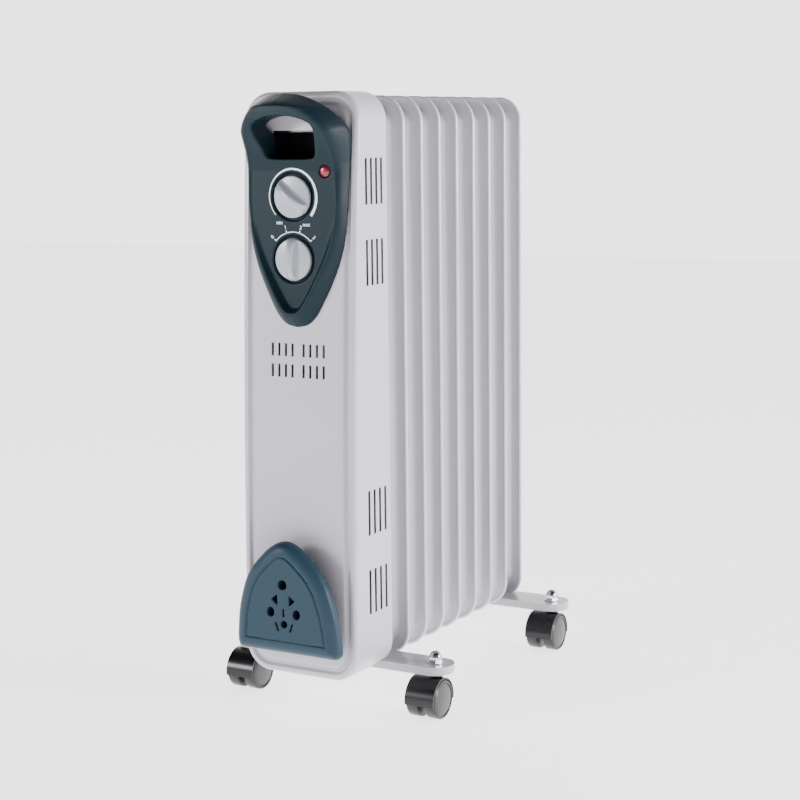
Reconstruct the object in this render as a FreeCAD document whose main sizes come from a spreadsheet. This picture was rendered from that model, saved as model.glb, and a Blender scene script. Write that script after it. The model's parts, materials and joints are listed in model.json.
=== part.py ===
"""Oil filled radiator heater: nine steel sections, a control housing, two foot brackets, four casters.

Frame: +Z up, the floor at Z = 0, the control housing faces -Y and +X is its right-hand side.
The origin is the centre of the footprint. Everything is in millimetres.
"""
import FreeCAD, Part
import math
import os

import Sketcher
from FreeCAD import Placement, Rotation, Vector

FIN_COUNT = 9

# Driving dimensions: alias, value, meaning.
DIMENSIONS = (
    ("fin_width", 130.0, "section width over the seam rim"),
    ("fin_height", 580.0, "section height over the seam rim"),
    ("fin_corner", 27.0, "corner radius of the seam rim"),
    ("fin_pitch", 38.1, "spacing of the sections"),
    ("fin_clearance", 46.8, "floor to the bottom of the sections"),
    ("rim_width", 12.5, "flat seam rim around a section"),
    ("rim_thickness", 1.6, "two welded sheets"),
    ("panel_bulge", 7.0, "height of the raised panel above the rim"),
    ("panel_slope", 42.0, "slope of the raised panel's edge, degrees"),
    ("sheet", 0.6, "steel sheet of a section"),
    ("header_diameter", 46.0, "outside of a header boss"),
    ("header_inset", 48.0, "header axis from the end of a section"),
    ("rear_boss", 10.0, "last section's plane to the rear end of the heater"),
    ("plug_spigot", 3.0, "header plug inside the header's bore"),
    ("housing_side_margin", 1.5, "housing outside the sections, each side"),
    ("housing_top_margin", 3.6, "housing above the sections"),
    ("housing_bottom_margin", 0.6, "housing below the sections"),
    ("housing_depth_top", 51.5, "first section's plane to the front edge at the top"),
    ("housing_depth_bottom", 71.4, "first section's plane to the front edge at the bottom"),
    ("housing_bow", 5.0, "forward bow of the housing's front at mid height"),
    ("housing_wall", 1.0, "housing steel"),
    ("housing_edge", 8.0, "radius around the housing's front"),
    ("groove_inset", 8.5, "housing's side to the groove around its front panel"),
    ("groove_width", 5.0, "width of the groove around the front panel"),
    ("groove_depth", 2.4, "depth of the groove around the front panel"),
    ("handle_reach", 54.5, "front of the handle ahead of the housing's top edge"),
    ("bezel_margin", 6.0, "housing's side to the control bezel's widest point"),
    ("bezel_height", 229.0, "control bezel's height"),
    ("bezel_rise", 2.2, "top of the bezel above the sections"),
    ("bezel_depth", 69.5, "first section's plane to the bezel's face"),
    ("bezel_wall", 4.0, "bezel face thickness"),
    ("grip_low_width", 58.6, "hand opening's width at its bottom"),
    ("grip_high_width", 70.4, "hand opening's width near its top"),
    ("grip_drop", 61.8, "section top to the bottom of the hand opening"),
    ("grip_height", 42.0, "hand opening's height"),
    ("grip_arch", 10.0, "rise of the arched top of the hand opening"),
    ("pocket_depth", 30.0, "depth of the hand pocket behind the housing's front"),
    ("pocket_height", 26.0, "height of the hand pocket"),
    ("pocket_wall", 1.6, "hand pocket wall"),
    ("knob_diameter", 41.0, "both knobs"),
    ("knob_disc", 3.7, "thickness of a knob's disc"),
    ("knob_grip", 8.5, "height of a knob's grip ridge"),
    ("knob_grip_width", 8.6, "width of a knob's grip ridge"),
    ("knob_gap", 0.3, "knob behind-clearance to the bezel"),
    ("recess_diameter", 47.0, "bezel recess around a knob"),
    ("recess_depth", 2.0, "depth of the recess around a knob"),
    ("thermostat_drop", 98.1, "section top to the thermostat's axis"),
    ("switch_drop", 159.2, "section top to the power switch's axis"),
    ("spindle_diameter", 6.0, "control spindles"),
    ("running_fit", 0.05, "radial clearance of a running fit"),
    ("lens_diameter", 10.5, "indicator lens"),
    ("lens_offset", 37.5, "indicator lens to the right of the centre"),
    ("lens_drop", 73.3, "section top to the indicator lens"),
    ("side_vent_length", 45.0, "side vent slot length"),
    ("side_vent_width", 3.2, "side vent slot width"),
    ("vent_pitch_upper", 9.7, "spacing of the upper side vents"),
    ("vent_pitch_lower", 10.5, "spacing of the lower side vents"),
    ("vent_back", 10.5, "housing's rear edge to the last side vent"),
    ("vent_drop_1", 83.8, "section top to the first side vent group"),
    ("vent_drop_2", 162.8, "section top to the second side vent group"),
    ("vent_rise_3", 168.2, "section bottom to the third side vent group"),
    ("vent_rise_4", 87.7, "section bottom to the fourth side vent group"),
    ("front_vent_length", 13.0, "front vent slot length"),
    ("front_vent_width", 3.2, "front vent slot width"),
    ("front_vent_pitch", 7.8, "spacing of the front vents in a group"),
    ("front_vent_split", 13.0, "inner vents of the two groups, centre to centre"),
    ("front_vent_drop", 249.3, "section top to the upper row of front vents"),
    ("front_vent_row", 20.8, "spacing of the two rows of front vents"),
    ("cover_margin", 6.0, "housing's side to the cord wrap cover's widest point"),
    ("cover_height", 115.0, "cord wrap cover's height"),
    ("cover_rise", 28.2, "section bottom to the cover's bottom"),
    ("cover_depth", 90.0, "first section's plane to the cover's rim"),
    ("cover_bevel", 13.5, "width of the cover's sloping border"),
    ("cover_bulge", 9.5, "cover's face ahead of its rim"),
    ("cover_rim", 4.0, "thickness of the cover's rim"),
    ("cover_wall", 2.2, "cover wall"),
    ("cover_lean", 2.5, "forward lean of the cover, degrees"),
    ("neck_scale", 0.56, "cord winding neck against the cover"),
    ("foot_width", 39.0, "foot bracket's width"),
    ("foot_plate", 2.0, "foot bracket's sheet"),
    ("foot_lip", 8.5, "foot bracket's turned-down lip"),
    ("foot_top", 53.0, "floor to the top of the foot brackets"),
    ("foot_offset", 12.5, "foot bracket's centre line inboard of the end section"),
    ("notch_gap", 0.8, "clearance of the foot bracket's notch around a section's rim"),
    ("stud_spread", 219.0, "caster stud to caster stud across the heater"),
    ("stud_diameter", 8.0, "caster stud"),
    ("stud_low", 36.5, "floor to the bottom of a caster stud"),
    ("stud_thread", 11.0, "caster stud above the foot bracket"),
    ("collar_diameter", 14.0, "caster collar"),
    ("collar_gap", 0.3, "collar to the caster hood"),
    ("washer_diameter", 17.0, "washer under a cap nut"),
    ("washer_thickness", 1.2, "washer under a cap nut"),
    ("nut_width", 13.0, "cap nut across its flats"),
    ("nut_height", 5.5, "cap nut's hexagon"),
    ("wheel_diameter", 40.0, "caster wheel"),
    ("wheel_width", 13.4, "caster wheel's width"),
    ("wheel_spread", 20.6, "centre to centre of a caster's two wheels"),
    ("wheel_crown", 1.0, "dome of a wheel's outer face"),
    ("wheel_gap", 0.8, "wheel to hood"),
    ("hood_wall", 1.6, "caster hood wall"),
    ("hood_skirt", 16.5, "floor to the bottom of the hood"),
    ("hood_boss", 15.0, "swivel boss diameter"),
    ("hood_top", 44.2, "floor to the top of the swivel boss"),
    ("caster_trail", 14.0, "stud axis to the wheel axis"),
    ("axle_diameter", 5.0, "caster axle"),
    ("bolt_diameter", 6.0, "U-bolt rod"),
    ("bolt_clearance", 1.0, "U-bolt around the header"),
    ("wing_nut_diameter", 11.0, "wing nut body"),
    ("wing_nut_height", 6.0, "wing nut body"),
    ("element_diameter", 8.5, "heating element tube"),
    ("element_spread", 20.0, "distance between the two legs of the heating element"),
    ("element_reach", 290.0, "heating element inside the lower header"),
    ("flange_diameter", 62.0, "heating element flange"),
    ("flange_thickness", 5.0, "heating element flange"),
    ("gasket_thickness", 2.0, "heating element gasket"),
    ("flange_bolt_circle", 52.0, "heating element flange bolts"),
    ("flange_bolt", 5.0, "heating element flange bolt"),
    ("back_plate_thickness", 1.0, "back plate"),
    ("back_plate_gap", 1.0, "back plate ahead of the first section's panel"),
    ("screw_diameter", 4.0, "housing and cover screws"),
    ("screw_head", 7.5, "housing and cover screw heads"),
)


class Size:
    """A number that carries its spreadsheet expression, so that one formula gives both."""

    def __init__(self, value, text):
        self.value = float(value)
        self.text = text

    @staticmethod
    def of(number):
        if isinstance(number, Size):
            return number
        return Size(number, "({:.6f})".format(number))

    def _pair(self, other, sign, value):
        return Size(value, "({} {} {})".format(self.text, sign, other.text))

    def __add__(self, other):
        other = Size.of(other)
        return self._pair(other, "+", self.value + other.value)

    def __sub__(self, other):
        other = Size.of(other)
        return self._pair(other, "-", self.value - other.value)

    def __mul__(self, other):
        other = Size.of(other)
        return self._pair(other, "*", self.value * other.value)

    def __truediv__(self, other):
        other = Size.of(other)
        return self._pair(other, "/", self.value / other.value)

    def __radd__(self, other):
        return Size.of(other) + self

    def __rsub__(self, other):
        return Size.of(other) - self

    def __rmul__(self, other):
        return Size.of(other) * self

    def __neg__(self):
        return Size.of(0.0) - self


document = FreeCAD.newDocument("radiator_heater")


def make_sheet():
    """Write the driving dimensions to the spreadsheet and return them as sizes."""
    sheet = document.addObject("Spreadsheet::Sheet", "Sizes")
    sizes = {}
    for row, (alias, value, meaning) in enumerate(DIMENSIONS, start=1):
        sheet.set("A{}".format(row), meaning)
        sheet.set("B{}".format(row), str(value))
        sheet.setAlias("B{}".format(row), alias)
        sizes[alias] = value
    document.recompute()
    return {alias: Size(value, "Sizes." + alias) for alias, value in sizes.items()}


class Sizes:
    """The driving dimensions as attributes."""

    def __init__(self, values):
        self.__dict__.update(values)


S = Sizes(make_sheet())
NODES = []

# Places worked out from the driving dimensions.
TOTAL_DEPTH = S.handle_reach + S.housing_depth_top + S.fin_pitch * (FIN_COUNT - 1) + S.rear_boss
Y_FRONT = -(TOTAL_DEPTH / 2)
Y_FACE_TOP = Y_FRONT + S.handle_reach
Y_FIRST = Y_FACE_TOP + S.housing_depth_top
Y_LAST = Y_FIRST + S.fin_pitch * (FIN_COUNT - 1)
Y_HOUSING_REAR = Y_FIRST - S.rim_thickness / 2
Y_FACE_BOTTOM = Y_FIRST - S.housing_depth_bottom
Z_LOW = S.fin_clearance
Z_HIGH = S.fin_clearance + S.fin_height
Z_HEADER_LOW = Z_LOW + S.header_inset
Z_HEADER_HIGH = Z_HIGH - S.header_inset
Z_HOUSING_LOW = Z_LOW - S.housing_bottom_margin
Z_HOUSING_HIGH = Z_HIGH + S.housing_top_margin
HOUSING_HALF = S.fin_width / 2 + S.housing_side_margin
BEZEL_WIDTH = (HOUSING_HALF - S.bezel_margin) * 2
COVER_WIDTH = (HOUSING_HALF - S.cover_margin) * 2
PANEL_RISE = S.rim_thickness / 2 + S.panel_bulge
Y_PLATE_REAR = Y_FIRST - PANEL_RISE - S.back_plate_gap
Z_THERMOSTAT = Z_HIGH - S.thermostat_drop
Z_SWITCH = Z_HIGH - S.switch_drop
Z_LENS = Z_HIGH - S.lens_drop
Y_BEZEL_FACE = Y_FIRST - S.bezel_depth
Y_RECESS = Y_BEZEL_FACE + S.recess_depth
FOOT_CENTRES = {"front": Y_FIRST + S.foot_offset, "rear": Y_LAST - S.foot_offset}
Z_FOOT_UNDER = S.foot_top - S.foot_plate
Z_FOOT_LIP = S.foot_top - S.foot_lip
HEADER_BORE = S.header_diameter - S.sheet * 2


# ---------------------------------------------------------------- document helpers

def bind(item, name, size):
    """Bind a property to a size."""
    item.setExpression(name, Size.of(size).text)


def place(item, at=(0, 0, 0), turn=None):
    """Put an object at sizes x, y, z with an optional rotation."""
    sizes = [Size.of(value) for value in at]
    rotation = turn if turn else Rotation()
    item.Placement = Placement(Vector(*[size.value for size in sizes]), rotation)
    for axis, size in zip("xyz", sizes):
        item.setExpression("Placement.Base." + axis, size.text)
    return item


TURNS = {
    "z": Rotation(),
    "y": Rotation(Vector(1, 0, 0), -90),
    "-y": Rotation(Vector(1, 0, 0), 90),
    "x": Rotation(Vector(0, 1, 0), 90),
    "-x": Rotation(Vector(0, 1, 0), -90),
}


def box(name, low, high):
    """A Part::Box between two corners given as sizes."""
    item = document.addObject("Part::Box", name)
    for prop, start, end in zip(("Length", "Width", "Height"), low, high):
        bind(item, prop, Size.of(end) - start)
    return place(item, low)


def cylinder(name, radius, length, at, axis="z"):
    """A Part::Cylinder from a point along an axis."""
    item = document.addObject("Part::Cylinder", name)
    bind(item, "Radius", radius)
    bind(item, "Height", length)
    return place(item, at, TURNS[axis])


def cone(name, radius_1, radius_2, length, at, axis="z"):
    """A Part::Cone from a point along an axis."""
    item = document.addObject("Part::Cone", name)
    bind(item, "Radius1", radius_1)
    bind(item, "Radius2", radius_2)
    bind(item, "Height", length)
    return place(item, at, TURNS[axis])


def fuse(name, items):
    """A union of overlapping or touching solids."""
    item = document.addObject("Part::MultiFuse", name)
    item.Shapes = items
    return item


def group(name, items):
    """Several separate solids held as one object."""
    item = document.addObject("Part::Compound", name)
    item.Links = items
    return item


def cut(name, base, tool):
    """Base without tool; a list of tools is grouped first."""
    if isinstance(tool, list):
        tool = group(name + "_tools", tool)
    item = document.addObject("Part::Cut", name)
    item.Base = base
    item.Tool = tool
    return item


def common(name, first, second):
    """What two solids share."""
    item = document.addObject("Part::Common", name)
    item.Base = first
    item.Tool = second
    return item


def node(name, item):
    """Give an object its label and list it as a node."""
    item.Label = name
    NODES.append((name, item))
    return item


# ---------------------------------------------------------------- sketches and bodies

def new_body(name):
    return document.addObject("PartDesign::Body", name)


def new_sketch(body, name, plane, offset=None):
    """A sketch on one of the body's origin planes."""
    sketch = body.newObject("Sketcher::SketchObject", name)
    support = [item for item in body.Origin.OriginFeatures if item.Role == plane][0]
    sketch.AttachmentSupport = [(support, "")]
    sketch.MapMode = "FlatFace"
    if offset is not None:
        sketch.AttachmentOffset = Placement(Vector(0, 0, offset.value), Rotation())
        sketch.setExpression("AttachmentOffset.Base.z", offset.text)
    return sketch


def fix_point(sketch, geometry, position, x, y):
    """Hold a sketch point at sizes x, y from the sketch's origin."""
    for kind, size, axis in (("DistanceX", Size.of(x), -2), ("DistanceY", Size.of(y), -1)):
        if abs(size.value) < 1e-9:
            sketch.addConstraint(Sketcher.Constraint("PointOnObject", geometry, position, axis))
        elif size.value > 0:
            index = sketch.addConstraint(
                Sketcher.Constraint(kind, -1, 1, geometry, position, size.value))
            sketch.setExpression("Constraints[{}]".format(index), size.text)
        else:
            index = sketch.addConstraint(
                Sketcher.Constraint(kind, geometry, position, -1, 1, -size.value))
            sketch.setExpression("Constraints[{}]".format(index), (-size).text)


def arc_between(start, end, radius):
    """The shorter counter-clockwise arc from start to end."""
    chord = end - start
    half = chord.Length / 2
    rise = math.sqrt(max(radius * radius - half * half, 0.0))
    centre = start + chord * 0.5 + Vector(-chord.y, chord.x, 0).normalize() * rise
    first = math.atan2(start.y - centre.y, start.x - centre.x)
    last = math.atan2(end.y - centre.y, end.x - centre.x)
    return Part.ArcOfCircle(Part.Circle(centre, Vector(0, 0, 1), radius), first, last)


def draw(sketch, points):
    """Draw a closed outline.

    Each entry is (x, y) for a straight edge that ends there, or (x, y, radius) for an arc that
    ends there and turns counter-clockwise; the outline starts where its last entry ends.
    """
    sizes = [(Size.of(p[0]), Size.of(p[1])) for p in points]
    here = Vector(sizes[-1][0].value, sizes[-1][1].value, 0)
    first = None
    before = None
    for entry, (x, y) in zip(points, sizes):
        there = Vector(x.value, y.value, 0)
        if len(entry) == 2:
            index = sketch.addGeometry(Part.LineSegment(here, there), False)
        else:
            radius = Size.of(entry[2])
            index = sketch.addGeometry(arc_between(here, there, radius.value), False)
            row = sketch.addConstraint(Sketcher.Constraint("Radius", index, radius.value))
            sketch.setExpression("Constraints[{}]".format(row), radius.text)
        if before is not None:
            sketch.addConstraint(Sketcher.Constraint("Coincident", before, 2, index, 1))
        fix_point(sketch, index, 2, x, y)
        first = index if first is None else first
        before = index
        here = there
    sketch.addConstraint(Sketcher.Constraint("Coincident", before, 2, first, 1))


def draw_circle(sketch, radius, x=0, y=0):
    """Draw a circle at sizes x, y."""
    x, y, radius = Size.of(x), Size.of(y), Size.of(radius)
    circle = Part.Circle(Vector(x.value, y.value, 0), Vector(0, 0, 1), radius.value)
    index = sketch.addGeometry(circle, False)
    row = sketch.addConstraint(Sketcher.Constraint("Radius", index, radius.value))
    sketch.setExpression("Constraints[{}]".format(row), radius.text)
    fix_point(sketch, index, 3, x, y)


def rounded(half_width, low, high, radius):
    """Outline of a rectangle centred on the vertical axis with rounded corners."""
    inner = half_width - radius
    return [
        (inner, low), (half_width, low + radius, radius),
        (half_width, high - radius), (inner, high, radius),
        (-inner, high), (-half_width, high - radius, radius),
        (-half_width, low + radius), (-inner, low, radius),
    ]


def extrude(body, kind, name, sketch, forward, back=None, slope=None):
    """A Pad or Pocket along the sketch's normal, and against it when back is given."""
    feature = body.newObject("PartDesign::" + kind, name)
    feature.Profile = sketch
    bind(feature, "Length", forward)
    if back is not None:
        feature.SideType = "Two sides"
        bind(feature, "Length2", back)
    if slope is not None:
        bind(feature, "TaperAngle", slope)
        if back is not None:
            bind(feature, "TaperAngle2", slope)
    return feature


def turned(name, outline, axis):
    """A body of revolution about the sketch's X ("h") or Y ("v") axis on the XY plane."""
    body = new_body(name)
    sketch = new_sketch(body, name + "_outline", "XY_Plane")
    draw(sketch, outline)
    feature = body.newObject("PartDesign::Revolution", name + "_turned")
    feature.Profile = sketch
    feature.ReferenceAxis = (sketch, ["H_Axis" if axis == "h" else "V_Axis"])
    feature.Angle = 360.0
    return body


# ---------------------------------------------------------------- sections

def boss_reach(number):
    """How far a section's header bosses reach forward and back from its plane."""
    half = S.fin_pitch / 2
    rear = PANEL_RISE if number == FIN_COUNT else half
    return half, rear


def make_fin(number):
    """One pressed section: seam rim, raised panel and header bosses, hollow for the oil."""
    name = "fin_{}".format(number)
    body = new_body(name)
    half = S.fin_width / 2
    forward, back = boss_reach(number)
    rim_half = S.rim_thickness / 2
    low, high = Z_LOW, Z_HIGH

    rim = new_sketch(body, name + "_rim", "XZ_Plane")
    draw(rim, rounded(half, low, high, S.fin_corner))
    extrude(body, "Pad", name + "_rim_pad", rim, rim_half, rim_half)

    inset = S.rim_width
    panel = new_sketch(body, name + "_panel", "XZ_Plane")
    draw(panel, rounded(half - inset, low + inset, high - inset, S.fin_corner - inset / 2))
    rise = PANEL_RISE
    extrude(body, "Pad", name + "_panel_pad", panel, rise, rise, -S.panel_slope)

    boss = new_sketch(body, name + "_bosses", "XZ_Plane")
    draw_circle(boss, S.header_diameter / 2, 0, Z_HEADER_LOW)
    draw_circle(boss, S.header_diameter / 2, 0, Z_HEADER_HIGH)
    extrude(body, "Pad", name + "_boss_pad", boss, forward, back)

    inset = S.rim_width + S.sheet * 2
    oil = new_sketch(body, name + "_oil", "XZ_Plane")
    draw(oil, rounded(half - inset, low + inset, high - inset, S.fin_corner - inset / 2))
    depth = rise - S.sheet
    extrude(body, "Pocket", name + "_oil_pocket", oil, depth, depth, -S.panel_slope)

    bore = new_sketch(body, name + "_bores", "XZ_Plane")
    draw_circle(bore, HEADER_BORE / 2, 0, Z_HEADER_LOW)
    draw_circle(bore, HEADER_BORE / 2, 0, Z_HEADER_HIGH)
    open_end = extrude(body, "Pocket", name + "_bore_pocket", bore, back, forward)
    if number == 1:
        bind(open_end, "Length2", rise)
        lower = new_sketch(body, name + "_element_bore", "XZ_Plane")
        draw_circle(lower, HEADER_BORE / 2, 0, Z_HEADER_LOW)
        extrude(body, "Pocket", name + "_element_pocket", lower, back, forward)
    place(body, (0, Y_FIRST + S.fin_pitch * (number - 1), 0))
    node(name, body)
    return body


def make_header_plugs():
    """The two plugs that close the last section's header bosses; the upper one is the oil filler."""
    start = Y_LAST + PANEL_RISE
    plugs = []
    for label, height in (("lower", Z_HEADER_LOW), ("upper", Z_HEADER_HIGH)):
        flange = cylinder(label + "_plug_flange", S.header_diameter / 2, S.rear_boss - PANEL_RISE,
                          (0, start, height), "y")
        inner = cylinder(label + "_plug_spigot", HEADER_BORE / 2 - S.running_fit, S.plug_spigot,
                         (0, start - S.plug_spigot, height), "y")
        plugs.append(fuse(label + "_plug", [flange, inner]))
    node("header_plugs", group("header_plug_group", plugs))


# ---------------------------------------------------------------- housing

def housing_solid(name, inset, open_rear, press=0.0):
    """The housing's solid form, inset by a wall; open_rear runs it past the rear edge.

    press moves its front back.
    """
    body = new_body(name)
    rear = Y_HOUSING_REAR + open_rear
    low, high = Z_HOUSING_LOW + inset, Z_HOUSING_HIGH - inset
    top, bottom = Y_FACE_TOP + inset + press, Y_FACE_BOTTOM + inset + press
    chord = math.hypot(high.value - low.value, top.value - bottom.value)
    bow = S.housing_bow.value
    radius = (chord * chord / 4 + bow * bow) / (2 * bow)
    side = new_sketch(body, name + "_side", "YZ_Plane")
    draw(side, [(bottom, low, radius), (rear, low), (rear, high), (top, high)])
    half = HOUSING_HALF - inset
    pad = extrude(body, "Pad", name + "_pad", side, half, half)
    document.recompute()

    corners = body.newObject("PartDesign::Fillet", name + "_corners")
    corners.Base = (pad, edges_where(pad.Shape, is_long_corner))
    bind(corners, "Radius", S.fin_corner + S.housing_side_margin - inset)
    document.recompute()
    front = body.newObject("PartDesign::Fillet", name + "_front")
    front.Base = (corners, edges_where(corners.Shape, is_front_edge))
    bind(front, "Radius", S.housing_edge - inset)
    body.Tip = front
    document.recompute()
    return body


def edges_where(shape, test):
    """Names of the edges that pass a test."""
    return ["Edge{}".format(i) for i, edge in enumerate(shape.Edges, start=1) if test(edge)]


def is_long_corner(edge):
    """A straight edge that runs from front to rear."""
    start, end = edge.Vertexes[0].Point, edge.Vertexes[-1].Point
    run = end - start
    return abs(run.y) > 20 and abs(run.x) < 1e-6 and abs(run.z) < 1e-6


def is_front_edge(edge):
    """An edge of the housing's bowed front."""
    rear = Y_HOUSING_REAR.value - 20
    return all(vertex.Point.y < rear for vertex in edge.Vertexes)


def groove_ring(name, grow):
    """A prism through the housing's front along the groove, grown by a wall."""
    body = new_body(name)
    plan = new_sketch(body, name + "_plan", "XZ_Plane")
    for inset in (S.groove_inset - grow, S.groove_inset + S.groove_width + grow):
        draw(plan, rounded(HOUSING_HALF - inset, Z_HOUSING_LOW + inset, Z_HOUSING_HIGH - inset,
                           S.fin_corner + S.housing_side_margin - inset))
    extrude(body, "Pad", name + "_pad", plan, S.housing_depth_bottom)
    return place(body, (0, Y_FACE_TOP + S.groove_depth * 2, 0))


def pressed(name, solid, inset, open_rear, grow):
    """The solid with the groove pressed into its front."""
    floor = housing_solid(name + "_floor", inset, open_rear, S.groove_depth)
    return cut(name, solid, cut(name + "_groove", groove_ring(name + "_ring", grow), floor))


def side_vents():
    """Slots through both sides of the housing."""
    reach = HOUSING_HALF + 2
    tools = []
    groups = (
        (Z_HIGH - S.vent_drop_1, S.vent_pitch_upper),
        (Z_HIGH - S.vent_drop_2, S.vent_pitch_upper),
        (Z_LOW + S.vent_rise_3, S.vent_pitch_lower),
        (Z_LOW + S.vent_rise_4, S.vent_pitch_lower),
    )
    for row, (height, pitch) in enumerate(groups, start=1):
        for column in range(4):
            y = Y_HOUSING_REAR - S.vent_back - pitch * column
            low = (-reach, y - S.side_vent_width / 2, height - S.side_vent_length / 2)
            high = (reach, y + S.side_vent_width / 2, height + S.side_vent_length / 2)
            tools.append(box("side_vent_{}_{}".format(row, column + 1), low, high))
    return tools


def front_vents():
    """Two rows of eight slots in the housing's front."""
    tools = []
    for row in range(2):
        height = Z_HIGH - S.front_vent_drop - S.front_vent_row * row
        for column in range(8):
            step = column - 3.5
            side = 1 if step > 0 else -1
            x = side * S.front_vent_split / 2 + S.front_vent_pitch * (step - 0.5 * side)
            low = (x - S.front_vent_width / 2, Y_FIRST - S.housing_depth_bottom - 20,
                   height - S.front_vent_length / 2)
            high = (x + S.front_vent_width / 2, Y_FACE_TOP + 12, height + S.front_vent_length / 2)
            tools.append(box("front_vent_{}_{}".format(row + 1, column + 1), low, high))
    return tools


def pocket_box(name, grow, front, rear):
    """The hand pocket's box, grown on its four sides."""
    half = S.grip_low_width / 2 + grow
    low = Z_HIGH - S.grip_drop - grow
    high = Z_HIGH - S.grip_drop + S.pocket_height + grow
    return box(name, (-half, front, low), (half, rear, high))


def make_housing(outer, cavity):
    """The drawn steel cover with its vents and the holes for the controls."""
    outside = pressed("pressed_outside", outer, Size.of(0.0), Size.of(0.0), Size.of(0.0))
    inside = pressed("pressed_inside", cavity, S.housing_wall, Size.of(5.0), S.housing_wall)
    shell = cut("housing_shell", outside, inside)
    reach = Y_FACE_TOP + 12
    start = Y_FRONT
    tools = side_vents() + front_vents()
    tools.append(pocket_box("housing_pocket_hole", S.pocket_wall, start, reach))
    for label, height in (("thermostat", Z_THERMOSTAT), ("switch", Z_SWITCH)):
        tools.append(cylinder("housing_hole_" + label, S.spindle_diameter, S.bezel_depth * 2,
                              (0, start, height), "y"))
    tools.append(cylinder("housing_hole_lamp", S.lens_diameter / 2, S.bezel_depth * 2,
                          (S.lens_offset, start, Z_LENS), "y"))
    hull = S.screw_diameter / 2 + 0.2
    for label, x, z in bezel_screw_places() + cover_screw_places():
        tools.append(cylinder("housing_hole_" + label, hull, S.housing_depth_bottom,
                              (x, start, z), "y"))
    notch = S.fin_width / 2 - S.fin_corner / 4
    tools.append(box("housing_foot_notch",
                     (-notch, FOOT_CENTRES["front"] - S.foot_width / 2 - 1, Z_HOUSING_LOW - 5),
                     (notch, Y_HOUSING_REAR + 5, S.foot_top + 1)))
    tools.append(cylinder("housing_hole_gland", GLAND_RADIUS, S.housing_depth_bottom,
                          (GLAND_X, Y_FACE_BOTTOM + 30, Z_HOUSING_LOW - 10), "z"))
    node("front_housing", cut("front_housing", shell, tools))


# Inlet bush in the housing's floor, where a mains cord would enter.
GLAND_RADIUS = Size.of(6.0)
GLAND_X = Size.of(-30.0)


def bezel_screw_places():
    """Screws that hold the bezel from inside the housing."""
    x = BEZEL_WIDTH / 2 - 18
    return [
        ("bezel_1", -x, Z_SWITCH + 20), ("bezel_2", x, Z_SWITCH + 20),
        ("bezel_3", -x, Z_LENS - 8), ("bezel_4", x - 2, Z_LENS - 20),
    ]


def cover_screw_places():
    """Screws that hold the cord wrap cover's neck from inside the housing."""
    z = Z_LOW + S.cover_rise + S.cover_height / 2.4
    x = COVER_WIDTH / 2 * S.neck_scale - 7
    return [("cover_1", -x, z), ("cover_2", x, z)]


# ---------------------------------------------------------------- mouldings

# Half outline of the bezel: height fraction from its bottom, half-width fraction.
BEZEL_OUTLINE = (
    (0.000, 0.000), (0.012, 0.200), (0.048, 0.360), (0.102, 0.490), (0.175, 0.635), (0.262, 0.779),
    (0.350, 0.878), (0.440, 0.929), (0.550, 0.955), (0.700, 0.974), (0.786, 0.993), (0.842, 0.990),
    (0.880, 0.925), (0.918, 0.805), (0.950, 0.650), (0.976, 0.470), (0.994, 0.240), (1.000, 0.000),
)

# Front of the bezel seen from the side: height fraction, forward of the flat face (share of reach).
BEZEL_FRONT = (
    (-0.020, 0.16), (0.060, 0.14), (0.300, 0.03), (0.420, 0.00), (0.660, 0.00),
    (0.760, 0.20), (0.843, 0.50), (0.895, 0.70), (0.921, 0.84), (0.934, 0.95), (0.943, 1.00),
)

# Half outline of the cord wrap cover: height fraction, half-width fraction.
COVER_OUTLINE = (
    (0.000, 0.940), (0.020, 0.985), (0.090, 1.000), (0.220, 0.982), (0.390, 0.934), (0.590, 0.823),
    (0.700, 0.720), (0.775, 0.620), (0.860, 0.465), (0.935, 0.305), (0.985, 0.140), (1.000, 0.000),
)


def spline_edge(points):
    """An edge through points."""
    curve = Part.BSplineCurve()
    curve.interpolate(points)
    return curve.toShape()


def arch_face(outline, half_width, low, height, y, inset=0.0):
    """Face of a symmetric outline in the plane Y = y; flat at the bottom if the outline is."""
    wide = (half_width - inset) / half_width
    tall = (height - 2 * inset) / height
    right = [Vector(w * half_width * wide, y, low + inset + f * height * tall) for f, w in outline]
    left = [Vector(-point.x, point.y, point.z) for point in reversed(right)]
    edges = [spline_edge(right + left[1:])]
    if right[0].x > 1e-6:
        edges.append(Part.LineSegment(left[-1], right[0]).toShape())
    return Part.Face(Part.Wire(edges))


def feature(name, shape):
    """A Part::Feature that holds a shape."""
    item = document.addObject("Part::Feature", name)
    item.Shape = shape
    return item


def bezel_side(half):
    """The bezel's side profile as a solid: flat face below, handle leaning forward above."""
    low = Z_HIGH.value + S.bezel_rise.value - S.bezel_height.value
    height = S.bezel_height.value
    face = Y_BEZEL_FACE.value
    reach = face - Y_FRONT.value
    front = [Vector(-half, face - share * reach, low + part * height) for part, share in BEZEL_FRONT]
    lip_top = front[-1] + Vector(0, 2.5, 2.5)
    crest = Vector(-half, Y_FRONT.value + 25.5, low + height + 1)
    under_crest = Vector(-half, crest.y + 4.0, crest.z - 9.0)
    arm_back = Vector(-half, Y_FACE_TOP.value - 3.0, low + 0.82 * height)
    inside_high = Vector(-half, Y_FACE_TOP.value + 20.0, arm_back.z)
    inside_low = Vector(-half, inside_high.y, front[0].z)
    corners = [front[-1], lip_top, crest, under_crest, arm_back, inside_high, inside_low, front[0]]
    edges = [spline_edge(front)]
    edges += [Part.LineSegment(a, b).toShape() for a, b in zip(corners, corners[1:])]
    return Part.Face(Part.Wire(Part.__sortEdges__(edges))).extrude(Vector(2 * half, 0, 0))


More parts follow.
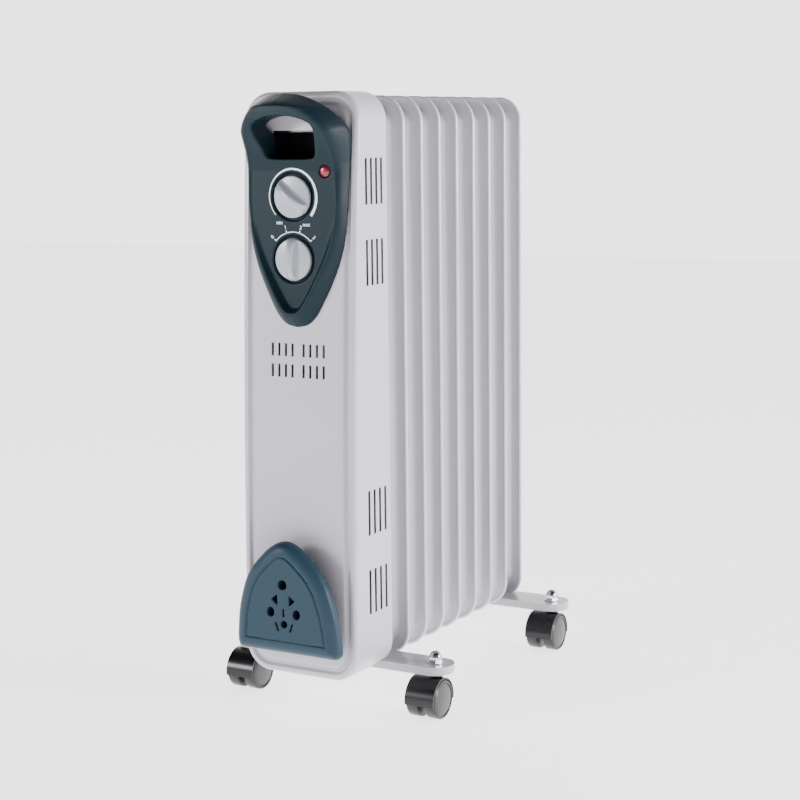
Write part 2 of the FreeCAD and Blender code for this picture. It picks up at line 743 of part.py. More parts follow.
def grip_prism():
    """The hand opening as a solid through the bezel."""
    low = Z_HIGH.value - S.grip_drop.value
    high = low + S.grip_height.value
    shoulder = high - S.grip_arch.value
    bottom, top = S.grip_low_width.value / 2, S.grip_high_width.value / 2
    y = Y_FRONT.value - 5
    a = Vector(-bottom, y, low)
    b = Vector(bottom, y, low)
    c = Vector(top, y, shoulder)
    d = Vector(-top, y, shoulder)
    edges = [
        Part.LineSegment(a, b).toShape(),
        Part.LineSegment(b, c).toShape(),
        Part.Arc(c, Vector(0, y, high), d).toShape(),
        Part.LineSegment(d, a).toShape(),
    ]
    return Part.Face(Part.Wire(edges)).extrude(Vector(0, 120, 0))


def y_cylinder(radius, y, length, x, z):
    """A cylinder along +Y as a shape."""
    return Part.makeCylinder(radius, length, Vector(x, y, z), Vector(0, 1, 0))


def make_bezel(outer):
    """The control bezel with its handle, knob recesses and fixing bosses."""
    low = Z_HIGH.value + S.bezel_rise.value - S.bezel_height.value
    half = BEZEL_WIDTH.value / 2
    height = S.bezel_height.value
    start = Y_FRONT.value - 5
    face = Y_BEZEL_FACE.value
    prism = arch_face(BEZEL_OUTLINE, half, low, height, start).extrude(Vector(0, 120, 0))
    shape = prism.common(bezel_side(half + 5))
    shape = shape.cut(grip_prism())

    rear_depth = Y_FACE_TOP.value + 20 - face
    ceiling = Z_HIGH.value - S.grip_drop.value - S.bezel_wall.value
    hollow = arch_face(BEZEL_OUTLINE, half, low, height, face + S.bezel_wall.value, 3.0)
    hollow = hollow.extrude(Vector(0, rear_depth, 0))
    below = Part.makeBox(2 * half, 2 * rear_depth, ceiling - low,
                         Vector(-half, face, low))
    hollow = hollow.common(below)
    for _, x, z in bezel_screw_places():
        hollow = hollow.cut(y_cylinder(4.5, face, rear_depth * 2, x.value, z.value))
    shape = shape.cut(hollow)
    for z in (Z_THERMOSTAT.value, Z_SWITCH.value):
        shape = shape.cut(y_cylinder(S.recess_diameter.value / 2, start, Y_RECESS.value - start, 0, z))
        shape = shape.cut(y_cylinder(S.spindle_diameter.value / 2 + 1, start, 120, 0, z))
    shape = shape.cut(y_cylinder(S.lens_diameter.value / 2, start, 120, S.lens_offset.value, Z_LENS.value))
    for _, x, z in bezel_screw_places():
        pilot = y_cylinder(S.screw_diameter.value / 2, face + 3, 60, x.value, z.value)
        shape = shape.cut(pilot)
    shape = shape.cut(outer.Shape)
    solids = sorted(shape.Solids, key=lambda solid: solid.Volume)
    node("control_bezel", feature("control_bezel", solids[-1]))


def cover_loft(inset):
    """The cover's dished form: rim, sloping border and flat face, inset by a wall."""
    half = COVER_WIDTH.value / 2
    low = Z_LOW.value + S.cover_rise.value
    height = S.cover_height.value
    bevel, bulge = S.cover_bevel.value, S.cover_bulge.value
    rim = arch_face(COVER_OUTLINE, half, low, height, 0.0, inset)
    face = arch_face(COVER_OUTLINE, half, low, height, inset - bulge, bevel + inset * 0.4)
    slope = Part.makeLoft([rim.OuterWire, face.OuterWire], True, True)
    return slope.fuse(rim.extrude(Vector(0, S.cover_rim.value + (1.0 if inset else 0.0), 0)))


def park_holes():
    """Holes in the cover's face that park the plug's pins."""
    low = Z_LOW.value + S.cover_rise.value
    holes = []
    for x, z, radius in ((0, 72.5, 4.8), (-14.5, 44, 4.2), (14.5, 44, 4.2), (0, 32, 3.6)):
        holes.append(y_cylinder(radius, -40, 60, x, low + z))
    for x, z, wide, tall in ((-9.6, 57, 5.5, 8.0), (9.6, 57, 5.5, 8.0), (0, 44, 2.0, 8.0),
                             (-8.2, 29, 1.6, 8.0), (8.2, 29, 1.6, 8.0)):
        holes.append(Part.makeBox(wide, 60, tall, Vector(x - wide / 2, -40, low + z - tall / 2)))
    return holes


def make_cover(outer):
    """The cord wrap cover: a dished plate on a hollow neck that stands on the housing."""
    half = COVER_WIDTH.value / 2
    low = Z_LOW.value + S.cover_rise.value
    height = S.cover_height.value
    wall = S.cover_wall.value
    scale = S.neck_scale.value
    solid = cover_loft(0.0).cut(cover_loft(wall))
    margin = half * (1 - scale)
    tube = arch_face(COVER_OUTLINE, half, low, height, -1.0, margin)
    inner = arch_face(COVER_OUTLINE, half, low, height, -2.0, margin + wall)
    neck = tube.extrude(Vector(0, 60, 0)).cut(inner.extrude(Vector(0, 64, 0)))
    floor = arch_face(COVER_OUTLINE, half, low, height, 1.0, wall)
    floor = floor.extrude(Vector(0, wall, 0)).cut(inner.extrude(Vector(0, 64, 0)))
    solid = solid.fuse([neck, floor])
    for hole in park_holes():
        solid = solid.cut(hole)
    for _, x, z in cover_screw_places():
        solid = solid.fuse(y_cylinder(4.5, 6, 60, x.value, z.value))
    solid.rotate(Vector(0, 0, low), Vector(1, 0, 0), S.cover_lean.value)
    solid.translate(Vector(0, Y_FIRST.value - S.cover_depth.value, 0))
    solid = solid.cut(outer.Shape)
    for _, x, z in cover_screw_places():
        pilot = front_face_y(z.value) - COVER_SCREW_REACH
        solid = solid.cut(y_cylinder(S.screw_diameter.value / 2, pilot, 30, x.value, z.value))
    solids = sorted(solid.Solids, key=lambda piece: piece.Volume)
    node("cord_wrap_cover", feature("cord_wrap_cover", solids[-1]))


def make_hand_pocket(outer):
    """The black cup behind the handle, open to the front."""
    front = Y_FACE_TOP - S.housing_bow * 3
    rear = Y_FACE_TOP + S.pocket_depth
    cup = pocket_box("pocket_outside", S.pocket_wall, front, rear)
    hollow = pocket_box("pocket_inside", Size.of(0.0), front - 1, rear - S.pocket_wall)
    clipped = common("pocket_clipped", cut("pocket_cup", cup, hollow), outer)
    node("hand_pocket", clipped)


# ---------------------------------------------------------------- controls

def make_knob(name, height, turn):
    """A round knob with a grip ridge, turned about its own axis to its rest position."""
    body = new_body(name)
    radius = S.knob_diameter / 2
    disc = new_sketch(body, name + "_disc", "XZ_Plane")
    draw_circle(disc, radius)
    extrude(body, "Pad", name + "_disc_pad", disc, S.knob_disc)
    ridge = new_sketch(body, name + "_ridge", "XZ_Plane")
    half, long = S.knob_grip_width / 2, radius - 2
    draw(ridge, [(half, -long), (half, long), (-half, long, half * 1.6), (-half, -long),
                 (half, -long, half * 1.6)][1:])
    extrude(body, "Pad", name + "_ridge_pad", ridge, S.knob_disc + S.knob_grip)
    bore = new_sketch(body, name + "_bore", "XZ_Plane")
    draw_circle(bore, S.spindle_diameter / 2)
    document.recompute()
    hole = extrude(body, "Pocket", name + "_bore_pocket", bore, S.knob_disc)
    hole.Reversed = True
    place(body, (0, Y_RECESS - S.knob_gap, height), Rotation(Vector(0, -1, 0), turn))
    node(name, body)


def make_control(kind, knob, height, turn):
    """A control body inside the housing with its spindle and the knob on it."""
    make_knob(knob, height, turn)
    face = Y_FACE_TOP + 4
    length = Size.of(22.0)
    half = Size.of(17.0)
    case = box(kind + "_case", (-half, face, height - 15), (half, face + length, height + 15))
    bush = cylinder(kind + "_bush", S.spindle_diameter - 0.5, Size.of(8.0), (0, face - 8, height), "y")
    hole = cylinder(kind + "_hole", S.spindle_diameter / 2 + S.running_fit, Size.of(26.0),
                    (0, face - 9, height), "y")
    tabs = [box("{}_tab_{}".format(kind, i), (x - 3, face + length, height - 4),
                (x + 3, face + length + 8, height - 3.2)) for i, x in enumerate((-9, 9), start=1)]
    node(kind + "_body", cut(kind + "_body", fuse(kind + "_solid", [case, bush] + tabs), hole))
    start = Y_RECESS - S.knob_gap - S.knob_disc
    node(kind + "_spindle", cylinder(kind + "_spindle", S.spindle_diameter / 2,
                                     face + 15 - start, (0, start, height), "y"))


def make_indicator():
    """Red lens in the bezel and the neon lamp behind it."""
    radius = S.lens_diameter / 2
    crown = Size.of(2.6)
    lens = turned("lens", [(radius, -S.bezel_wall), (radius, 0), (radius * 0.6, crown * 0.8),
                           (0, crown), (0, -S.bezel_wall)], "v")
    place(lens, (S.lens_offset, Y_BEZEL_FACE, Z_LENS), Rotation(Vector(0, 0, 1), 180))
    node("indicator_lens", lens)
    start = Y_BEZEL_FACE + S.bezel_wall
    node("indicator_lamp", cylinder("lamp", radius * 0.6, Size.of(24.0),
                                    (S.lens_offset, start, Z_LENS), "y"))


# ---------------------------------------------------------------- electrical parts

def make_element():
    """Flanged heating element in the lower header, with its gasket, seat ring and bolts."""
    face = Y_FIRST - S.fin_pitch / 2
    height = Z_HEADER_LOW
    ring_depth = Size.of(6.0)
    hole = S.flange_bolt / 2
    angles = (90, 210, 330)
    spots = [(S.flange_bolt_circle / 2 * math.cos(math.radians(angle)),
              height + S.flange_bolt_circle / 2 * math.sin(math.radians(angle))) for angle in angles]

    def disc(label, start, depth, inner):
        solid = cylinder(label + "_disc", S.flange_diameter / 2, depth, (0, start, height), "y")
        tools = [cylinder("{}_hole_{}".format(label, i), hole, depth * 3, (x, start - depth, z), "y")
                 for i, (x, z) in enumerate(spots, start=1)]
        if inner is not None:
            tools.append(cylinder(label + "_bore", inner, depth * 3, (0, start - depth, height), "y"))
        return solid, tools

    ring, ring_tools = disc("seat_ring", face, ring_depth, S.header_diameter / 2)
    node("element_seat_ring", cut("element_seat_ring", ring, ring_tools))
    gasket_face = face - S.gasket_thickness
    gasket, gasket_tools = disc("gasket", gasket_face, S.gasket_thickness, HEADER_BORE / 2)
    node("element_gasket", cut("element_gasket", gasket, gasket_tools))

    flange_face = gasket_face - S.flange_thickness
    flange, flange_tools = disc("flange", flange_face, S.flange_thickness, None)
    leg = S.element_diameter / 2
    legs = [-S.element_spread / 2, S.element_spread / 2]
    flange_tools += [cylinder("flange_leg_hole_{}".format(i), leg, S.flange_thickness * 3,
                              (x, flange_face - 5, height), "y") for i, x in enumerate(legs, start=1)]
    node("element_flange", cut("element_flange", flange, flange_tools))

    start = flange_face - 14
    run = S.element_reach + 14
    tubes = [cylinder("element_leg_{}".format(i), leg, run, (x, start, height), "y")
             for i, x in enumerate(legs, start=1)]
    bend = document.addObject("Part::Torus", "element_bend")
    bind(bend, "Radius1", S.element_spread / 2)
    bind(bend, "Radius2", leg)
    bend.Angle1 = -180
    bend.Angle2 = 180
    bend.Angle3 = 180
    place(bend, (0, start + run, height))
    pins = [cylinder("element_pin_{}".format(i), leg * 0.45, Size.of(9.0), (x, start - 9, height), "y")
            for i, x in enumerate(legs, start=1)]
    node("heating_element", fuse("heating_element", tubes + [bend] + pins))

    bolts = []
    for i, (x, z) in enumerate(spots, start=1):
        head = cylinder("element_bolt_head_{}".format(i), S.flange_bolt * 0.85, Size.of(3.5),
                        (x, flange_face - 3.5, z), "y")
        shank = cylinder("element_bolt_shank_{}".format(i), hole, S.flange_thickness * 2 + 1,
                         (x, flange_face, z), "y")
        bolts.append(fuse("element_bolt_{}".format(i), [head, shank]))
    node("element_bolts", group("element_bolt_group", bolts))


def make_electrics():
    """Thermal cut-out on the first section, terminal block, earth stud and cord inlet bush."""
    plate = Y_PLATE_REAR - S.back_plate_thickness
    z = Z_LOW + S.fin_height / 2
    cup = cylinder("cutout_cup", Size.of(8.0), Size.of(9.0), (0, plate - 9, z), "y")
    cap = cylinder("cutout_cap", Size.of(6.5), Size.of(4.0), (0, plate - 13, z), "y")
    tabs = [box("cutout_tab_{}".format(i), (x - 2.4, plate - 20, z - 0.4), (x + 2.4, plate - 13, z + 0.4))
            for i, x in enumerate((-3.4, 3.4), start=1)]
    node("thermal_cutout", fuse("thermal_cutout", [cup, cap] + tabs))

    z = Z_LOW + S.fin_height * 0.32
    base = box("terminal_base", (-24, plate - 14, z - 9), (24, plate, z + 9))
    holes = [cylinder("terminal_hole_{}".format(i), Size.of(3.0), Size.of(9.0), (x, plate - 15, z), "y")
             for i, x in enumerate((-15, 0, 15), start=1)]
    node("terminal_block", cut("terminal_block", base, holes))

    z = Z_LOW + S.fin_height * 0.24
    stud = cylinder("earth_shank", Size.of(2.0), Size.of(12.0), (0, plate - 12, z), "y")
    nut = cylinder("earth_nut", Size.of(4.0), Size.of(3.2), (0, plate - 3.2, z), "y")
    node("earth_stud", fuse("earth_stud", [stud, nut]))

    low = Z_HOUSING_LOW
    collar = cylinder("gland_collar", GLAND_RADIUS + 2, Size.of(1.5), (GLAND_X, Y_FACE_BOTTOM + 30, low - 1.5))
    sleeve = cylinder("gland_sleeve", GLAND_RADIUS, S.housing_wall + 1.5,
                      (GLAND_X, Y_FACE_BOTTOM + 30, low))
    lock = cylinder("gland_lock", GLAND_RADIUS + 1, Size.of(4.0),
                    (GLAND_X, Y_FACE_BOTTOM + 30, low + S.housing_wall))
    bore = cylinder("gland_bore", GLAND_RADIUS - 2.2, Size.of(20.0),
                    (GLAND_X, Y_FACE_BOTTOM + 30, low - 5))
    node("cord_gland", cut("cord_gland", fuse("gland_solid", [collar, sleeve, lock]), bore))


def make_back_plate():
    """Heat shield between the controls and the first section, on four lugs in the housing."""
    half = HOUSING_HALF - S.housing_wall - 0.4
    rear = Y_PLATE_REAR
    front = rear - S.back_plate_thickness
    low, high = Z_HOUSING_LOW + S.housing_wall + 0.4, Z_HOUSING_HIGH - S.housing_wall - 0.4
    body = new_body("back_plate")
    plan = new_sketch(body, "back_plate_plan", "XZ_Plane")
    draw(plan, rounded(half, low, high, S.fin_corner))
    for height in (Z_HEADER_LOW, Z_HEADER_HIGH):
        draw_circle(plan, S.header_diameter / 2 + 0.5, 0, height)
    extrude(body, "Pad", "back_plate_pad", plan, S.back_plate_thickness)
    place(body, (0, rear, 0))
    x = half - 12
    spots = [(side * x, z) for side in (-1, 1) for z in (low + 50, high - 125)]
    tools = [cylinder("plate_hole_{}".format(i), S.screw_diameter / 2 + 0.1, Size.of(10.0),
                      (px, front - 3, z), "y") for i, (px, z) in enumerate(spots, start=1)]
    tools.append(box("plate_foot_notch", (-half, front - 5, low - 5), (half, rear + 5, S.foot_top + 1)))
    node("back_plate", cut("back_plate_cut", body, tools))

    lugs = []
    screws = []
    for i, (px, z) in enumerate(spots, start=1):
        side = 1 if px.value > 0 else -1
        wall_x = side * (HOUSING_HALF - S.housing_wall)
        inner_x = px - 6 * side
        low_x, high_x = (inner_x, wall_x) if side > 0 else (wall_x, inner_x)
        block = box("lug_block_{}".format(i), (low_x, front - 8, z - 6), (high_x, front, z + 6))
        bore = cylinder("lug_bore_{}".format(i), S.screw_diameter / 2, Size.of(20.0), (px, front - 10, z), "y")
        lugs.append(cut("lug_{}".format(i), block, bore))
        head = cylinder("plate_screw_head_{}".format(i), S.screw_head / 2, Size.of(2.0), (px, rear, z), "y")
        shank = cylinder("plate_screw_shank_{}".format(i), S.screw_diameter / 2, Size.of(7.0),
                         (px, rear - 7, z), "y")
        screws.append(fuse("plate_screw_{}".format(i), [head, shank]))
    node("housing_lugs", group("lug_group", lugs))
    node("back_plate_screws", group("plate_screw_group", screws))


# How far a cover screw's shank stands ahead of its head.
COVER_SCREW_REACH = 14.0


def front_face_y(z):
    """Y of the housing's inner front surface at a height."""
    low, high = Z_HOUSING_LOW.value, Z_HOUSING_HIGH.value
    share = (z - low) / (high - low)
    chord = Y_FACE_BOTTOM.value + share * (Y_FACE_TOP.value - Y_FACE_BOTTOM.value)
    return chord - 4 * S.housing_bow.value * share * (1 - share) + S.housing_wall.value


def make_front_screws():
    """Screws driven from inside the housing into the bezel and the cover."""
    for name, places, reach in (("bezel_screws", bezel_screw_places(), 7.5),
                                ("cover_screws", cover_screw_places(), COVER_SCREW_REACH)):
        screws = []
        for label, x, z in places:
            seat = Size.of(front_face_y(z.value) + 0.6)
            head = cylinder(label + "_head", S.screw_head / 2, Size.of(2.2), (x, seat, z), "y")
            shank = cylinder(label + "_shank", S.screw_diameter / 2, Size.of(reach),
                             (x, seat - reach, z), "y")
            screws.append(fuse(label + "_screw", [head, shank]))
        node(name, group(name + "_group", screws))


# ---------------------------------------------------------------- feet and casters

def make_foot(end):
    """Pressed foot bracket with round ends, notched for the rim of the end section."""
    name = end + "_foot_bracket"
    body = new_body(name)
    half = S.foot_width / 2
    reach = S.stud_spread / 2
    toward = 1 if end == "front" else -1
    plan = new_sketch(body, name + "_plan", "XY_Plane", Z_FOOT_LIP)
    draw(plan, [(reach, -half), (reach + half, 0, half), (reach, half, half),
                (-reach, half), (-reach - half, 0, half), (-reach, -half, half)])
    extrude(body, "Pad", name + "_pad", plan, S.foot_lip)
    under = new_sketch(body, name + "_under", "XY_Plane", Z_FOOT_LIP)
    inner = half - S.foot_plate
    draw(under, [(reach, -inner), (reach + inner, 0, inner), (reach, inner, inner),
                 (-reach, inner), (-reach - inner, 0, inner), (-reach, -inner, inner)])
    hollow = extrude(body, "Pocket", name + "_hollow", under, S.foot_lip - S.foot_plate)
    hollow.Reversed = True
    notch = S.rim_thickness / 2 + S.notch_gap
    holes = new_sketch(body, name + "_holes", "XY_Plane", Z_FOOT_LIP)
    rim_y = -toward * S.foot_offset
    wide = S.fin_width / 2 - S.fin_corner / 4
    draw(holes, [(-wide, rim_y - notch), (wide, rim_y - notch), (wide, rim_y + notch), (-wide, rim_y + notch)])
    for side in (-1, 1):
        draw_circle(holes, S.stud_diameter / 2, side * reach, 0)
        draw_circle(holes, S.bolt_diameter / 2 + 0.2, side * U_HALF, u_bolt_y(toward))
    through = extrude(body, "Pocket", name + "_through", holes, S.foot_lip * 2)
    through.Reversed = True
    place(body, (0, FOOT_CENTRES[end], 0))
    node(name, body)


U_HALF = S.header_diameter / 2 + S.bolt_clearance + S.bolt_diameter / 2


def u_bolt_y(toward):
    """U-bolt from the foot bracket's centre line, midway between the two end sections."""
    return toward * (S.fin_pitch / 2 - S.foot_offset)


def make_u_bolts():
    """U-bolts over the lower header and the wing nuts under the foot brackets."""
    bolts = []
    nuts = []
    low = Z_FOOT_UNDER - S.wing_nut_height - 4
    for end, toward in (("front", 1), ("rear", -1)):
        y = FOOT_CENTRES[end] + u_bolt_y(toward)
        legs = [cylinder("{}_u_leg_{}".format(end, i), S.bolt_diameter / 2, Z_HEADER_LOW - low,
                         (side * U_HALF, y, low)) for i, side in enumerate((-1, 1), start=1)]
        bow = document.addObject("Part::Torus", end + "_u_bow")
        bind(bow, "Radius1", U_HALF)
        bind(bow, "Radius2", S.bolt_diameter / 2)
        bow.Angle1 = -180
        bow.Angle2 = 180
        bow.Angle3 = 180
        place(bow, (0, y, Z_HEADER_LOW), Rotation(Vector(1, 0, 0), 90))
        bolts.append(fuse(end + "_u_bolt", legs + [bow]))
        for i, side in enumerate((-1, 1), start=1):
            x = side * U_HALF
            label = "{}_wing_nut_{}".format(end, i)
            hub = cylinder(label + "_hub", S.wing_nut_diameter / 2, S.wing_nut_height,
                           (x, y, Z_FOOT_UNDER - S.wing_nut_height))
            wings = box(label + "_wings", (x - 13, y - 1.2, Z_FOOT_UNDER - S.wing_nut_height - 3),
                        (x + 13, y + 1.2, Z_FOOT_UNDER - 2))
            bore = cylinder(label + "_bore", S.bolt_diameter / 2, S.wing_nut_height * 4,
                            (x, y, Z_FOOT_UNDER - S.wing_nut_height * 2))
            nuts.append(cut(label, fuse(label + "_solid", [hub, wings]), bore))
    node("u_bolts", group("u_bolt_group", bolts))
    node("wing_nuts", group("wing_nut_group", nuts))


def caster_places():
    """Name and stud position of each caster."""
    half = S.stud_spread / 2
    places = []
    for end in ("front", "rear"):
        for label, side in (("left", -1), ("right", 1)):
            places.append(("{}_{}".format(end, label), side * half, FOOT_CENTRES[end]))
    return places


def make_caster_fixings():
    """Studs, collars, washers and cap nuts, each four of a kind."""
    studs, collars, washers, nuts = [], [], [], []
    thread_top = S.foot_top + S.stud_thread
    collar_low = S.hood_top + S.collar_gap
    for name, x, y in caster_places():
        studs.append(cylinder(name + "_stud", S.stud_diameter / 2, thread_top - S.stud_low, (x, y, S.stud_low)))
        outside = cylinder(name + "_collar_outside", S.collar_diameter / 2, Z_FOOT_UNDER - collar_low,
                           (x, y, collar_low))
        bore = cylinder(name + "_collar_bore", S.stud_diameter / 2, S.foot_top, (x, y, 0))
        collars.append(cut(name + "_collar", outside, bore))
        disc = cylinder(name + "_washer_disc", S.washer_diameter / 2, S.washer_thickness, (x, y, S.foot_top))
        hole = cylinder(name + "_washer_hole", S.stud_diameter / 2, S.foot_top, (x, y, S.foot_top - 10))
        washers.append(cut(name + "_washer", disc, hole))
        nuts.append(make_cap_nut(name, x, y))
    node("caster_studs", group("stud_group", studs))
    node("caster_collars", group("collar_group", collars))
    node("caster_washers", group("washer_group", washers))
    node("cap_nuts", group("cap_nut_group", nuts))


def make_cap_nut(name, x, y):
    """A hexagon with a dome, bored for the stud."""
    seat = S.foot_top + S.washer_thickness
    prism = document.addObject("Part::Prism", name + "_hexagon")
    prism.Polygon = 6
    bind(prism, "Circumradius", S.nut_width / (2 * math.cos(math.pi / 6)))
    bind(prism, "Height", S.nut_height)
    place(prism, (x, y, seat))
    dome = document.addObject("Part::Sphere", name + "_dome")
    bind(dome, "Radius", S.nut_width / 2)
    dome.Angle1 = 0
    place(dome, (x, y, seat + S.nut_height - 0.5))
    bore = cylinder(name + "_nut_bore", S.stud_diameter / 2, S.stud_thread - S.washer_thickness,
                    (x, y, seat))
    return cut(name + "_cap_nut", fuse(name + "_nut_solid", [prism, dome]), bore)


def make_wheel(name, x, y, side):
    """A wheel on its axle, its outer face slightly domed."""
    radius = S.wheel_diameter / 2
    inner = S.wheel_spread / 2 - S.wheel_width / 2
    bore = S.axle_diameter / 2 + S.running_fit
    outer = inner + S.wheel_width
    body = turned(name, [(outer - 2, radius), (inner + 1, radius), (inner, radius - 1), (inner, bore),
                         (outer - 3, bore), (outer - 3, 0), (outer + S.wheel_crown, 0),
                         (outer, radius - 2)], "h")
    turn = Rotation() if side > 0 else Rotation(Vector(0, 0, 1), 180)
    place(body, (x, y, radius), turn)
    node(name, body)


def make_caster(name, x, stud_y):
    """Twin-wheel caster: hood with swivel boss, axle and two wheels trailing to the front."""
    y = stud_y - S.caster_trail
    radius = S.wheel_diameter / 2
    cavity = radius + S.wheel_gap
    outside = cavity + S.hood_wall
    half = S.wheel_spread / 2 + S.wheel_width / 2 - 0.6
    web = S.wheel_spread / 2 - S.wheel_width / 2 - 0.5
    drum = cylinder(name + "_drum", outside, half * 2, (x - half, y, radius), "x")
    boss = cylinder(name + "_boss", S.hood_boss / 2, S.hood_top - radius, (x, stud_y, radius))
    wells = [cylinder("{}_well_{}".format(name, i), cavity, half, (start, y, radius), "x")
             for i, start in enumerate((x + web, x - web - half), start=1)]
    skirt = box(name + "_skirt_cut", (x - half * 2, y - outside * 2, -outside),
                (x + half * 2, y + outside * 2, S.hood_skirt))
    stud = cylinder(name + "_stud_bore", S.stud_diameter / 2 + S.running_fit, S.hood_top,
                    (x, stud_y, S.stud_low - 0.5))
    axle_bore = cylinder(name + "_axle_bore", S.axle_diameter / 2, half * 4, (x - half * 2, y, radius), "x")
    solid = fuse(name + "_hood_solid", [drum, boss])
    node(name + "_hood", cut(name + "_hood", solid, wells + [skirt, stud, axle_bore]))
    reach = S.wheel_spread / 2 + S.wheel_width / 2 - 3.5
    node(name + "_axle", cylinder(name + "_axle", S.axle_diameter / 2, reach * 2, (x - reach, y, radius), "x"))
    for label, side in (("left", -1), ("right", 1)):
        make_wheel("{}_wheel_{}".format(name, label), x, y, side)


# ---------------------------------------------------------------- build

def build():
    """Make every piece."""
    for number in range(1, FIN_COUNT + 1):
        make_fin(number)
    make_header_plugs()
    outer = housing_solid("housing_outside", Size.of(0.0), Size.of(0.0))
    cavity = housing_solid("housing_inside", S.housing_wall, Size.of(5.0))
    make_housing(outer, cavity)
    make_bezel(outer)
    make_cover(outer)
    make_hand_pocket(outer)
    make_control("thermostat", "thermostat_knob", Z_THERMOSTAT, 53.0)
    make_control("switch", "power_switch_knob", Z_SWITCH, 0.0)
    make_indicator()
    make_element()
    make_electrics()
    make_back_plate()
    make_front_screws()
    make_foot("front")
    make_foot("rear")
    make_u_bolts()
    make_caster_fixings()
    for name, x, y in caster_places():
        make_caster(name, x, y)
    document.recompute()


def check():
    """Stop on any failed object or bad shape."""
    faults = [item.Name for item in document.Objects if "Invalid" in item.State or "Error" in item.State]
    for name, item in NODES:
        if item.Shape.isNull() or not item.Shape.isValid() or not item.Shape.Solids:
            faults.append("shape of " + name)
    if faults:
        raise RuntimeError("failed: " + ", ".join(faults))


def export():
    """Write one STEP file for each node."""
    os.makedirs("parts", exist_ok=True)
    for name, item in NODES:
        item.Shape.exportStep(os.path.join("parts", name + ".step"))
        print("{:24s} {:3d} solids {:12.1f} mm3".format(name, len(item.Shape.Solids), item.Shape.Volume))


build()
check()
export()
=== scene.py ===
"""Looks of the oil filled radiator heater: finishes, moulded covers, pressed sections, light and camera."""

import json
import logging
import math
from dataclasses import dataclass, field
from enum import Enum
from typing import Callable, Iterable, Sequence

import bmesh
import bpy
import numpy as np
from mathutils import Matrix, Vector

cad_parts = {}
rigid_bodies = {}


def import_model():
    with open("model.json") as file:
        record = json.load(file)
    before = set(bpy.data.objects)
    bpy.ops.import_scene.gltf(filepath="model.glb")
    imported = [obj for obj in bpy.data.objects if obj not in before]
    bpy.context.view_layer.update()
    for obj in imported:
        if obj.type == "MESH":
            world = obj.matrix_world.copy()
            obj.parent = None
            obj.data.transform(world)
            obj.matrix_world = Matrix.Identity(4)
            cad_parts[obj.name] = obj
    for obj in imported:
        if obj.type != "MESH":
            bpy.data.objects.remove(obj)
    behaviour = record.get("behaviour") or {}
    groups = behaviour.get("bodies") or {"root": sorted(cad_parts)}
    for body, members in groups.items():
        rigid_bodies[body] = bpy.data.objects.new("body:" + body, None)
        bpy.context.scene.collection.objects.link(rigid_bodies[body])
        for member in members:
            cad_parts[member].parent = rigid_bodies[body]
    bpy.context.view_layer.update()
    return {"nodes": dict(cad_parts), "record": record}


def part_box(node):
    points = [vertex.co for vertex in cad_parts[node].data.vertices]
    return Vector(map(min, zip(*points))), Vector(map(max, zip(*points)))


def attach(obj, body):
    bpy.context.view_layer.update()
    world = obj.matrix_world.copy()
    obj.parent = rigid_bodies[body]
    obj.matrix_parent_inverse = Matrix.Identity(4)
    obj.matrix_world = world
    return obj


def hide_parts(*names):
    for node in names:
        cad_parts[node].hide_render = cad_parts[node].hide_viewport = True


log = logging.getLogger("radiator_heater")

MM = 0.001
HEATER = "heater"

# Shared places, in millimetres in the CAD frame.
SECTION_COUNT = 9
SECTION_PITCH = 38.1
SECTION_FIRST = -104.4
SECTION_LOW = 46.8
SECTION_HIGH = 626.8
HEADER_INSET = 48.0
BOSS_SEGMENTS = 64
WHEEL_SEGMENTS = 80
HOUSING_HALF = 66.5
HOUSING_LOW = 46.2
HOUSING_HIGH = 630.4
HOUSING_REAR = -105.2
HOUSING_TOP_FACE = -155.9
HOUSING_BOTTOM_FACE = -175.8
HOUSING_BOW = 5.0
BEZEL_FACE = -173.9
THERMOSTAT_Z = 528.7
SWITCH_Z = 467.6
LENS = (37.5, 553.5)
KNOB_RADIUS = 20.45
RECESS_RADIUS = 23.5
RECESS_DEPTH = 2.6
LENS_SEAT_RADIUS = 5.9
LENS_SEAT_DEPTH = 3.0
SWITCH_MARKS = (-48.0, -16.0, 16.0, 48.0)
COVER_LOW = 75.0
COVER_PLANE = -194.4
COVER_LEAN = math.radians(2.5)

Array = np.ndarray
Ring = list[tuple[float, float, float]]


class Slot(Enum):
    """Material slots of the record."""

    SECTION = "section_enamel"
    HOUSING = "housing_enamel"
    GALVANISED = "galvanised"
    ZINC = "zinc_screws"
    TEAL = "teal_plastic"
    BLACK = "black_plastic"
    KNOB = "knob_plastic"
    LENS = "red_lens"
    LAMP = "lamp_glass"
    CONTROL = "control_plastic"
    FOOT = "foot_enamel"
    CHROME = "chrome_nuts"
    SHAFT = "steel_shafts"
    WHEEL = "wheel_plastic"
    GASKET = "gasket_rubber"
    ELEMENT = "element_steel"


class Grain(Enum):
    """Surface texture families."""

    ORANGE_PEEL = "orange_peel"
    MOULDED = "moulded"
    SPANGLE = "spangle"
    BRUSHED = "brushed"
    PLAIN = "plain"


@dataclass(frozen=True)
class Finish:
    """One surface finish.

    Attributes:
        name: material name.
        colour: linear base colour.
        roughness: mean roughness.
        metallic: 0 for paint and plastic, 1 for bare metal.
        coat: clear coat weight.
        grain: texture family.
        scale: texture frequency per metre.
        bump: bump strength.
        tint: how far the colour drifts over the surface.
        glow: emission strength in the base colour.
        specular: strength of the surface reflection, 0.5 for ordinary plastic.
    """

    name: str
    colour: tuple[float, float, float]
    roughness: float
    metallic: float = 0.0
    coat: float = 0.0
    grain: Grain = Grain.PLAIN
    scale: float = 400.0
    bump: float = 0.0
    tint: float = 0.03
    glow: float = 0.0
    specular: float = 0.5


